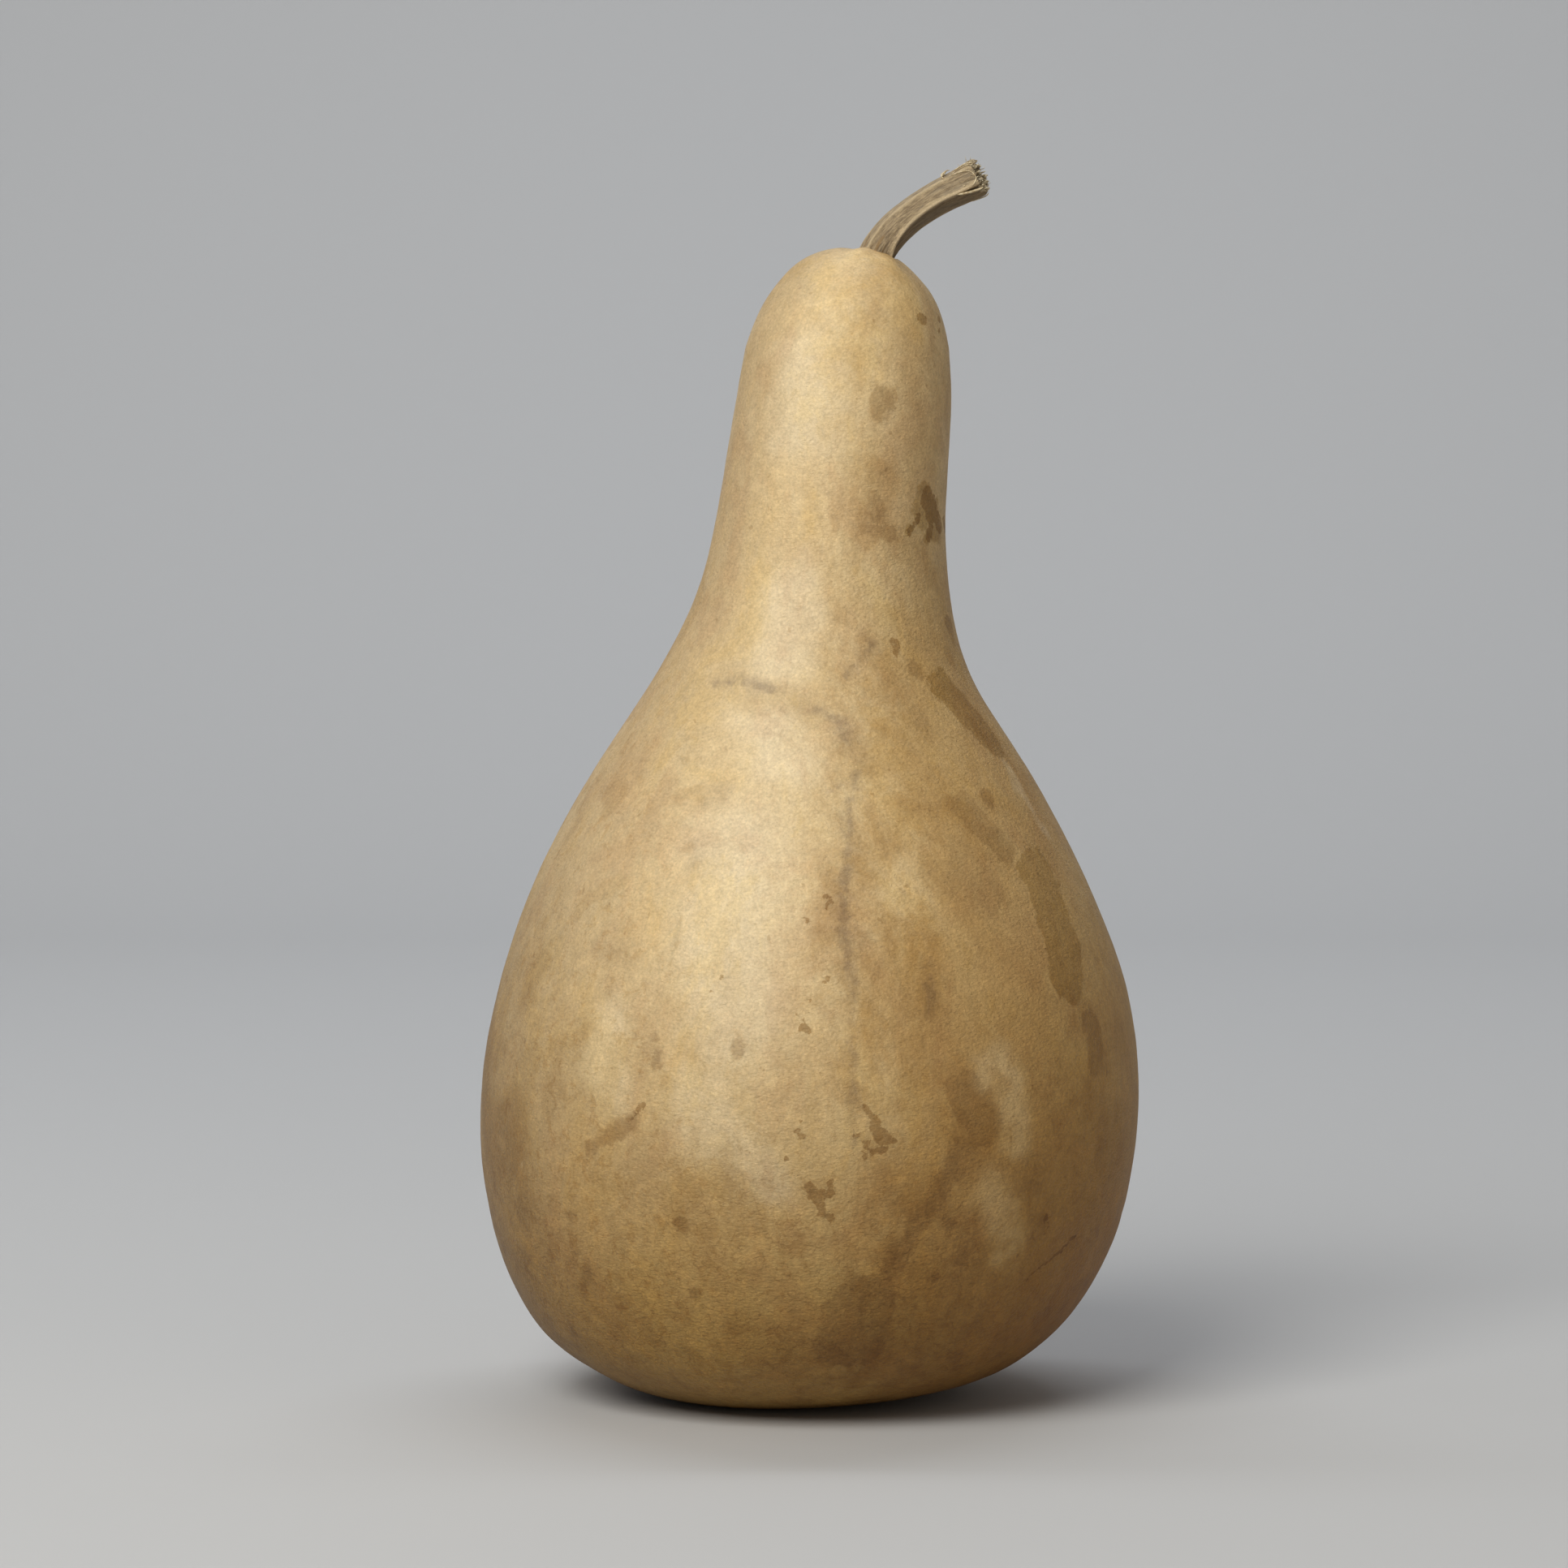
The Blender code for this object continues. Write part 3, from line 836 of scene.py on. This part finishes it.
level = stretched(shifted(place, (-belly_middle / MM, 0.0, 0.0)), (1.0, 1.0, 0.0))
navel_far = skin_finish.node("ShaderNodeVectorMath", {"operation": "LENGTH"}, {0: level}, out=1)
navel_far = navel_far + (blotches - 0.5) * 7.0
underside = 1.0 - edge(up, 5.0, 11.0)
navel_spot = (1.0 - edge(navel_far, 2.0, 3.4)) * underside
navel_halo = (1.0 - edge(navel_far, 4.0, 14.0)) * underside
print("skin nodes so far:", len(skin_finish.tree.nodes))

# %% Lay the stains over the base, the widest first
TEA = (0.74, 0.65, 0.50)
SUNNY = (1.13, 1.12, 1.10)
OCHRE = (0.72, 0.58, 0.36)
ASH = (0.71, 0.68, 0.66)
SLATE = (0.52, 0.51, 0.58)
VEILED = (0.70, 0.65, 0.59)
TANNED = (0.60, 0.51, 0.29)
UMBER = (0.52, 0.42, 0.28)

stained = dyed(
    base,
    (wander * 0.14, TEA),
    (dark_mottle, TEA),
    (pale_mottle, SUNNY),
    (blots, OCHRE),
    (bloom_mask * 0.42, ASH),
    (vein_mask * 0.62, SLATE),
    (sap_mask * 0.36, TEA),
    (veil_mask, VEILED),
    (tannin_mask, TANNED),
    (mould_mask * (0.40 + jagged * 0.66), UMBER),
    (specks * 0.4, UMBER),
    (crackle * 0.34, UMBER),
    (navel_halo * 0.6, TEA),
    (navel_spot, UMBER),
)
tone = 0.47 + flecks * 0.34 + jagged * 0.22 + fuzz * 0.60 - fine_line * 0.06
toned = scaled(stained, tone)
print("skin nodes:", len(skin_finish.tree.nodes))

# %% [markdown]
# ## The skin's touch
# The shell is hard and slightly waxy, with a fine leathery grain under a millimetre
# wide.  Grain that small belongs in a Bump node: as geometry it would need millions of
# faces.  Height is in millimetres, so the Bump's distance is one of them.  The grain
# fades towards the crown, where the real skin is tightest.

# %% Skin bump and gloss
leather = grain(stretched(place, (0.8, 0.8, 1.35)), 0.85, 3.0, 0.5, 0.35)
leather = leather * edge(up, 190.0, 275.0, 0.31, 0.18)
height = leather + fuzz * 0.06 + blotches * 0.10 - crackle * 0.04 - fine_line * 0.01
roughness = 0.56 + (clouds - 0.5) * 0.22 + (flecks - 0.5) * 0.12 + mould_mask * 0.08
skin_finish.shader(
    Base_Color=toned, Roughness=roughness, Normal=bumped(height), Specular_IOR_Level=0.36)
gourd_skin.data.materials.append(skin_finish.material)
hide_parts("gourd_body")
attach(gourd_skin, "root")
print("the skin is finished")

# %% [markdown]
# ## The stem
# A bottle gourd hangs from a stalk with five ribs, hard flat faces between them and
# fibres that run its whole length.  A curve with a bevel profile gives ribs but not the
# fibres' furrows, so the stem is built as rings along the same line as the frame's stem.
# Angles round it are in degrees, from the side that faces the viewer, and grow upwards.
# A share is how far along the stem a place is: 0 at the foot, 1 at the cut.

# %% The stem's line and its rings
STEM_ROUTE = (
    (23.6, 3.0, 281.2), (25.5, 2.7, 285.4), (28.1, 2.4, 289.6), (31.7, 2.0, 293.4),
    (36.2, 1.4, 296.8), (41.1, 0.5, 299.7), (46.3, -0.7, 302.2), (51.4, -2.4, 304.7),
)
STEM_RADII = (4.7, 4.8, 4.6, 4.5, 4.5, 4.6, 4.75, 4.9)
STEM_RINGS, STEM_SIDES = 150, 144
FLUTE_RADIUS = 0.835         # radius between the ribs, as a share of the stem's radius
TWIST_ENDS = 0.75            # the ribs run straight beyond this share
RIBS = (                     # angle at the cut, twist towards the foot, rise, width
    (42, 10, 0.15, 9), (-18, 60, 0.19, 9), (-88, 40, 0.15, 13),
    (-152, 30, 0.15, 14), (112, 15, 0.13, 13),
)


def along_stem(share, values):
    """A smooth curve through the values at evenly spaced stations."""
    values = np.array(values, float)
    place = np.clip(share, 0, 1) * (len(values) - 1)
    start = int(min(math.floor(place), len(values) - 2))
    t = place - start
    p0, p3 = values[max(start - 1, 0)], values[min(start + 2, len(values) - 1)]
    p1, p2 = values[start], values[start + 1]
    bend_in, bend_out = (p2 - p0) / 2, (p3 - p1) / 2
    gap = p2 - p1
    first = 3 * gap - 2 * bend_in - bend_out
    second = bend_in + bend_out - 2 * gap
    return p1 + t * bend_in + t * t * first + t ** 3 * second


def stem_axes(share):
    """Middle, forward, viewer-side and upper directions of the stem at a share of its length."""
    here = along_stem(share, STEM_ROUTE)
    ahead = along_stem(min(share + 0.01, 1.0), STEM_ROUTE)
    before = along_stem(max(share - 0.01, 0.0), STEM_ROUTE)
    forward = (ahead - before) / np.linalg.norm(ahead - before)
    viewer = np.array((0.0, -1.0, 0.0))
    viewer = viewer - forward * (viewer @ forward)
    viewer /= np.linalg.norm(viewer)
    upper = np.cross(viewer, forward)
    upper = -upper if upper[2] < 0 else upper
    return here, forward, viewer, upper


def rib_angle(rib, twist, share):
    """Where a rib stands at a share: it turns towards the foot."""
    return rib - twist * max(1 - share / TWIST_ENDS, 0.0) ** 2


def ribbed(angle, share):
    """Radius of the ribbed outline as a share of the stem's radius."""
    radius = FLUTE_RADIUS
    for rib, twist, rise, width in RIBS:
        off = (angle - rib_angle(rib, twist, share) + 180) % 360 - 180
        radius += rise * bell(off, width)
    return radius * (1 - 0.12 * max((share - 0.95) / 0.05, 0.0) ** 2)


def stem_point(share, angle, lift=0.0, sink=0.0):
    """A point on the stem's skin, raised by `lift` and pushed along by `sink` millimetres."""
    here, forward, viewer, upper = stem_axes(share)
    radius = along_stem(share, STEM_RADII) * ribbed(angle, share) + lift
    turn = math.radians(angle)
    out = viewer * math.cos(turn) + upper * math.sin(turn)
    return here + out * radius + forward * sink


middle_line = [along_stem(s, STEM_ROUTE) for s in np.linspace(0, 1, 200)]
stem_length = sum(np.linalg.norm(b - a) for a, b in zip(middle_line, middle_line[1:]))
print("the stem is", round(float(stem_length), 1), "mm long")

# %% [markdown]
# The fibres are furrows: a noise that is narrow round the stem and long along it.  Near
# the cut the stalk was crushed by the shears, so the furrows deepen and the rim breaks
# into steps.  The end is closed by rings that step inwards over a rough, sunken pith.

# %% The stem's grid
FURROW = 0.20               # millimetres
CRUSHED_FROM = 0.82         # share where the crushed end begins
PITH_RINGS = ((0.88, -0.3), (0.66, -0.8), (0.42, -0.9), (0.2, -0.7))     # size and sink
STRAIGHT_RADIUS = 4.6       # of the straightened stem that the bark's pattern is drawn on


def on_circle(turn, radius, along):
    return Vector((math.cos(turn) * radius, math.sin(turn) * radius, along))


def furrow_depth(turn, distance, seed=2.0):
    """Long narrow noise from about -1 to 1."""
    wide = noise.noise(on_circle(turn, 7.5, distance * 0.10 + seed))
    return 0.65 * wide + 0.5 * noise.noise(on_circle(turn, 17.0, distance * 0.22 - seed))


def stem_side(angle):
    """One line of the stem from foot to pith, bent and straightened."""
    turn = math.radians(angle)
    rag = noise.noise(on_circle(turn, 2.4, 3.3)) + 0.7 * noise.noise(on_circle(turn, 8, 9.1))
    bent_line, straight_line = [], []
    for share in np.arange(STEM_RINGS) / (STEM_RINGS - 1):
        crushed = max(share - CRUSHED_FROM, 0.0) / (1 - CRUSHED_FROM)
        distance = share * stem_length
        lift = FURROW * (1 + 1.8 * crushed) * furrow_depth(turn, distance)
        lift += 0.5 * crushed ** 2 * noise.noise(on_circle(turn, 1.6, share * 9))
        bent_line.append(stem_point(share, angle, lift, 0.9 * rag * crushed ** 2))
        straight_line.append(on_circle(turn, STRAIGHT_RADIUS, distance))
    here, forward, _, _ = stem_axes(1.0)
    rim = bent_line[-1]
    for k, (shrink, sink) in enumerate(PITH_RINGS):
        rough = 0.55 * noise.noise(Vector(rim * shrink * 1.3) + Vector((k, 0, 0)))
        bent_line.append(here + (rim - here) * shrink + forward * (sink + rough))
        straight_line.append(on_circle(turn, STRAIGHT_RADIUS * shrink, stem_length + 1))
    return bent_line, straight_line


stem_angles = 360.0 * np.arange(STEM_SIDES) / STEM_SIDES
stem_sides = [stem_side(angle) for angle in stem_angles]
stem_points = np.array([bent_line for bent_line, _ in stem_sides]) * MM
stem_straight = np.array([straight_line for _, straight_line in stem_sides])
print("stem grid:", stem_points.shape[:2])

# %% [markdown]
# The bark is paler on the crests of the ribs and lies in shade below the lower one.
# Neither follows a noise, so both are worked out here for each point of the mesh.

# %% Build the stem
LOWER_RIB = RIBS[1]
SHADE_STARTS, SHADE_SOFTNESS, SHADE_ENDS = 3, 10, 130    # degrees below the lower rib


def crest_and_shade(angle, share):
    """How high a point stands on a rib, and how deep in the shade below the lower rib."""
    crest = (ribbed(angle, min(share, 0.95)) - FLUTE_RADIUS) / 0.16
    below = (rib_angle(LOWER_RIB[0], LOWER_RIB[1], share) - angle) % 360
    shade = np.clip((below - SHADE_STARTS) / SHADE_SOFTNESS, 0, 1) * (below < SHADE_ENDS)
    return crest, shade


stem_bottom = stem_points[:, 0].mean(0)
stem_top = stem_points[:, -1].mean(0)
gourd_stem = grid_piece("gourd_stem", stem_points, stem_bottom, stem_top)
store(gourd_stem, "unrolled", np.concatenate([
    stem_straight.reshape(-1, 3), [(0, 0, 0)], [(0, 0, stem_length + 1)]]))
crest_shade = np.zeros((STEM_SIDES, stem_points.shape[1], 2))
for side, angle in enumerate(stem_angles):
    for ring in range(STEM_RINGS):
        crest_shade[side, ring] = crest_and_shade(angle, ring / (STEM_RINGS - 1))
for name, values in (("crest", crest_shade[..., 0]), ("shaded", crest_shade[..., 1])):
    store(gourd_stem, name, np.append(values, (0, 0)))
print("stem faces:", len(gourd_stem.data.polygons))

# %% [markdown]
# ## Fibres at the cut
# Shears crush a dry stalk instead of slicing it.  The bundle ends stand out as short
# stubs, a few long whiskers stick up, and strips of bark peel back.  Hair particles
# could make them, but a handful of closed, tapered tubes gives control over each one.

# %% A helper for strands


def add_strand(mesh, points, radii, sides=6, flat=1.0):
    """Add one closed tapered tube through points; `flat` squashes it to a ribbon."""
    rings = []
    points = [np.array(p, float) for p in points]
    for k, (point, radius) in enumerate(zip(points, radii)):
        ahead, before = points[min(k + 1, len(points) - 1)], points[max(k - 1, 0)]
        forward = (ahead - before) / max(np.linalg.norm(ahead - before), 1e-9)
        side = np.cross(forward, (0.13, -0.21, 0.97))
        side /= np.linalg.norm(side)
        normal = np.cross(side, forward)
        ring = []
        for corner in range(sides):
            turn = 2 * math.pi * corner / sides
            out = side * math.cos(turn) + normal * math.sin(turn) * flat
            ring.append(mesh.verts.new((point + out * radius) * MM))
        rings.append(ring)
    for lower, upper in zip(rings, rings[1:]):
        for a in range(sides):
            b = (a + 1) % sides
            mesh.faces.new((lower[a], lower[b], upper[b], upper[a]))
    mesh.faces.new(list(reversed(rings[0])))
    mesh.faces.new(rings[-1])


print("strand helper is ready")

# %% Bundle ends, stray fibres and whiskers
BUNDLES, STRAYS = 150, 60
BUNDLE_WIDTHS, BUNDLE_ROOT = (0.12, 0.34), 1.6       # half widths, depth of the roots
BUNDLE_TAPER = ((0, 1.0), (0.5, 1.05), (0.85, 0.95), (0.96, 0.7), (1.0, 0.3))
STRAY_TAPER = ((0, 0.10), (0.35, 0.09), (0.7, 0.07), (1.0, 0.03))
WHISKER_TAPER = ((0, 0.15), (0.3, 0.13), (0.6, 0.11), (0.85, 0.08), (1.0, 0.04))
WHISKER_BOW = np.array((0.35, 0, -0.2))
rng = np.random.default_rng(7)
fibre_mesh = bmesh.new()
cut_middle, cut_forward, cut_viewer, cut_upper = stem_axes(1.0)
cut_radius = 0.80 * STEM_RADII[-1]


def around_cut(reach, turn):
    """A direction in the plane of the cut."""
    return (cut_viewer * math.cos(turn) + cut_upper * math.sin(turn)) * reach


for _ in range(BUNDLES):
    turn = rng.uniform(0, 2 * math.pi)
    reach = cut_radius * rng.uniform(0.02, 1.0) ** 0.5
    root = cut_middle + around_cut(reach, turn) - cut_forward * BUNDLE_ROOT
    lean = cut_forward + around_cut(0.06, turn) + rng.normal(0, 0.08, 3)
    length = BUNDLE_ROOT + rng.uniform(-0.5, 0.75) * (1.0 if reach > 0.5 * cut_radius else 0.6)
    width = rng.uniform(*BUNDLE_WIDTHS)
    points = [root + lean * length * t for t, _ in BUNDLE_TAPER]
    add_strand(fibre_mesh, points, [width * share for _, share in BUNDLE_TAPER], 8, 0.75)

for _ in range(STRAYS):
    turn = rng.normal(1.4, 1.6)
    root = cut_middle + around_cut(cut_radius * 1.02, turn) - cut_forward * rng.uniform(0.4, 3.0)
    lean = cut_forward * rng.uniform(0.5, 1.0) + around_cut(rng.uniform(0.1, 0.5), turn)
    curl = rng.normal(0, 0.35, 3)
    length = rng.uniform(0.7, 1.7)
    points = [root + lean * length * t + curl * t * t for t, _ in STRAY_TAPER]
    add_strand(fibre_mesh, points, [radius for _, radius in STRAY_TAPER], 5)

WHISKERS = (                # share and angle of the root, then the way to the tip
    (0.93, 84, (0.10, -0.2, 2.6)), (0.95, 70, (0.75, -0.3, 2.3)),
    (0.945, 76, (1.2, -0.2, 1.7)), (0.90, 88, (-0.5, 0.1, 1.2)),
    (0.985, -70, (1.3, -0.2, -0.5)), (0.99, 150, (1.4, 0.8, 0.6)),
)
for share, angle, tip in WHISKERS:
    root = stem_point(share, angle, -0.2)
    tip = np.array(tip)
    points = [root + tip * t + WHISKER_BOW * math.sin(math.pi * t) for t, _ in WHISKER_TAPER]
    add_strand(fibre_mesh, points, [radius for _, radius in WHISKER_TAPER], 6, 0.6)

cut_fibres = piece_from("cut_fibres", fibre_mesh)
print("fibres at the cut:", BUNDLES + STRAYS + len(WHISKERS))

# %% [markdown]
# ## Peeled bark
# Just below the cut the bark has lifted: a pale rim runs round the tongue of the front
# face, a splinter lies along the lower rib, and a small curl stands up on the upper
# edge.  Each is a ribbon that follows the stem by share, angle and lift.

# %% Peels
PEELS = (                   # stations of share, angle and lift; then half the width
    (((0.78, 46, -0.1), (0.85, 41, 0.12), (0.92, 36, 0.22), (0.962, 28, 0.34),
      (0.985, 14, 0.55), (0.992, 0, 0.6), (0.975, -11, 0.45), (0.94, -18, 0.3),
      (0.89, -24, 0.1)), 0.24),
    (((0.84, -23, 0.0), (0.87, -28, 0.35), (0.92, -36, 0.55), (0.97, -40, 0.75),
      (1.0, -42, 0.8)), 0.66),
    (((0.79, 72, -0.1), (0.80, 84, 0.5), (0.815, 96, 0.9), (0.84, 95, 0.7)), 0.34),
    (((0.785, 62, 0.0), (0.79, 66, 0.6), (0.80, 74, 0.9), (0.835, 84, 1.0)), 0.30),
    (((0.80, 40, -0.1), (0.795, 52, 0.35), (0.79, 62, 0.5)), 0.20),
    (((0.84, 62, 0.0), (0.90, 56, 0.35), (0.96, 50, 0.5), (1.0, 42, 0.5)), 0.30),
    (((0.85, 84, 0.0), (0.91, 76, 0.3), (0.97, 66, 0.45), (1.005, 60, 0.3)), 0.32),
    (((0.86, 104, 0.0), (0.93, 98, 0.3), (0.99, 90, 0.5)), 0.28),
    (((0.86, 130, 0.0), (0.92, 136, 0.4), (0.98, 140, 0.9)), 0.30),
    (((0.84, 200, 0.0), (0.91, 206, 0.4), (0.99, 214, 0.8)), 0.34),
    (((0.88, -86, 0.0), (0.94, -90, 0.3), (1.0, -86, 0.5)), 0.28),
    (((0.895, -10, 0.02), (0.902, -9, 0.12), (0.909, -8, 0.02)), 0.26),
)
peel_mesh = bmesh.new()
for route, width in PEELS:
    fine = [along_stem(t, route) for t in np.linspace(0, 1, 4 * len(route))]
    points = [stem_point(share, angle, lift) for share, angle, lift in fine]
    swell = [math.sin(math.pi * (k + 0.5) / len(points)) for k in range(len(points))]
    add_strand(peel_mesh, points, [width * (0.35 + 0.65 * t) for t in swell], 8, 0.55)
peeled_bark = piece_from("peeled_bark", peel_mesh)
print("peels:", len(PEELS))

# %% [markdown]
# ## The stem's finish
# The bark is a dull grey-brown, lighter on the crests of the ribs and darker
# in the furrows.  Its pattern must follow the bend, so the mesh carries each point's
# place on the straightened stem, and the noise reads that instead of the room's axes.

# %% Bark, pith and fibre finishes
BARK_LIGHT = srgb(190, 167, 130)
BARK_DARK = srgb(112, 92, 66)
BARK_GREY = srgb(152, 137, 114)
CREST_PALE = srgb(206, 184, 146)
SHADY = (0.46, 0.42, 0.36)
RUST = srgb(142, 108, 58)
PITH = srgb(120, 100, 72)


def bark_finish():
    made = Finish("stem_bark")
    spot = made.node("ShaderNodeAttribute", {"attribute_name": "unrolled"}, {}, out=1)
    fibres = grain(stretched(spot, (1.0, 1.0, 0.16)), 0.42, 6.0, 0.75)
    bands = grain(stretched(spot, (1.0, 1.0, 0.14)), 1.7, 4.0, 0.6)
    dashes = grain(stretched(spot, (1.0, 1.0, 0.55)), 0.26, 4.0, 0.7)
    _, _, distance = parts_of(spot)
    crest = painted(made, "crest")
    near_foot = 1.0 - edge(distance, 8.0, 20.0)
    past_rim = edge(distance, stem_length - 0.6, stem_length + 0.4)
    colour = mixed(edge(fibres + crest * 0.14, 0.30, 0.66), BARK_DARK, BARK_LIGHT)
    colour = mixed(edge(bands, 0.42, 0.62) * 0.55, colour, BARK_GREY)
    colour = mixed(edge(crest, 0.55, 1.0) * 0.62, colour, CREST_PALE)
    colour = dyed(colour, (painted(made, "shaded") * 0.9, SHADY))
    colour = mixed(near_foot * edge(bands, 0.50, 0.60) * 0.7, colour, RUST)
    colour = mixed(past_rim, colour, PITH)
    colour = scaled(colour, 0.40 + dashes * 1.0 + fibres * 0.20)
    relief_here = bumped(fibres * 0.30 + dashes * 0.12)
    made.shader(Base_Color=colour, Roughness=0.62 + (bands - 0.5) * 0.3, Normal=relief_here)
    return made.material


def fibre_finish(name, light, dark):
    made = Finish(name)
    spot = millimetres(made)
    fine = grain(spot, 0.25, 2.0, 0.5)
    colour = mixed(edge(grain(spot, 0.8, 3.0, 0.6), 0.35, 0.65), dark, light)
    made.shader(Base_Color=colour, Roughness=0.6 + fine * 0.2, Normal=bumped(fine * 0.08))
    return made.material


gourd_stem.data.materials.append(bark_finish())
cut_fibres.data.materials.append(
    fibre_finish("cut_fibre", srgb(220, 206, 174), srgb(148, 128, 94)))
peeled_bark.data.materials.append(
    fibre_finish("peeled_bark", srgb(224, 208, 172), srgb(176, 152, 112)))
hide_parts("stem")
for piece in (gourd_stem, cut_fibres, peeled_bark):
    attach(piece, "root")
print("stem pieces finished: 3")

# %% [markdown]
# ## The studio
# The gourd stands on a pale paper sweep that curves up behind it, so there is no
# horizon.  One large soft box high on the left models the belly, a weak fill keeps the
# right side readable, a narrow cool light behind on the left lights the skin's left
# edge, whose grey is also painted into the skin as shade and sheen, and a strip above
# the sweep lights the backdrop.

# %% Paper sweep
SWEEP_HALF_WIDTH, SWEEP_NEAR, SWEEP_FAR = 3.0, -2.2, 1.6
SWEEP_BEND, SWEEP_HEIGHT, SWEEP_STEPS = 0.8, 3.0, 16
SWEEP_GAP = 0.1 * MM         # keeps the paper and the resting spot from sharing one plane


def make_sweep():
    profile = [(SWEEP_NEAR, -SWEEP_GAP), (SWEEP_FAR, -SWEEP_GAP)]
    for turn in np.radians(90) * np.arange(1, SWEEP_STEPS + 1) / SWEEP_STEPS:
        y = SWEEP_FAR + SWEEP_BEND * math.sin(turn)
        profile.append((y, SWEEP_BEND * (1 - math.cos(turn)) - SWEEP_GAP))
    profile.append((SWEEP_FAR + SWEEP_BEND, SWEEP_HEIGHT))
    mesh = bmesh.new()
    edges = [[mesh.verts.new((x, y, z)) for y, z in profile]
             for x in (-SWEEP_HALF_WIDTH, SWEEP_HALF_WIDTH)]
    for k in range(len(profile) - 1):
        mesh.faces.new((edges[0][k], edges[1][k], edges[1][k + 1], edges[0][k + 1]))
    return piece_from("paper_sweep", mesh)


sweep = make_sweep()
paper = Finish("paper")
paper.shader(Base_Color=srgb(197, 196, 195), Roughness=0.85)
sweep.data.materials.append(paper.material)
print("paper sweep in place")

# %% Lights


def area_light(name, place, aim, size, power, colour):
    data = bpy.data.lights.new(name, "AREA")
    data.shape = "RECTANGLE"
    data.size, data.size_y = size
    data.energy = power
    data.color = colour
    made = placed(name, data)
    made.location = place
    made.rotation_euler = (Vector(aim) - Vector(place)).to_track_quat("-Z", "Y").to_euler()


LIGHT_AIM = (0.01, 0.0, 0.13)
area_light("key", (-0.76, -1.36, 1.40), LIGHT_AIM, (1.1, 1.1), 33.0, (0.98, 0.975, 0.935))
area_light("fill", (1.6, -1.2, 0.8), LIGHT_AIM, (1.2, 1.2), 2.2, (1.0, 0.86, 0.66))
area_light("edge_glow", (-1.3, 0.5, 0.4), LIGHT_AIM, (0.5, 1.2), 1.4, (0.70, 0.82, 1.0))
area_light("backdrop", (0.0, 0.9, 2.6), (0.0, 2.3, 0.3), (2.6, 0.6), 34.0, (0.86, 0.92, 1.0))

world = bpy.data.worlds.new("studio")
world.use_nodes = True
sky = world.node_tree.nodes["Background"]
sky.inputs["Color"].default_value = (0.97, 0.95, 0.93, 1.0)
sky.inputs["Strength"].default_value = 0.16
bpy.context.scene.world = world
bpy.context.scene.view_settings.view_transform = "Standard"
print("lights are on")
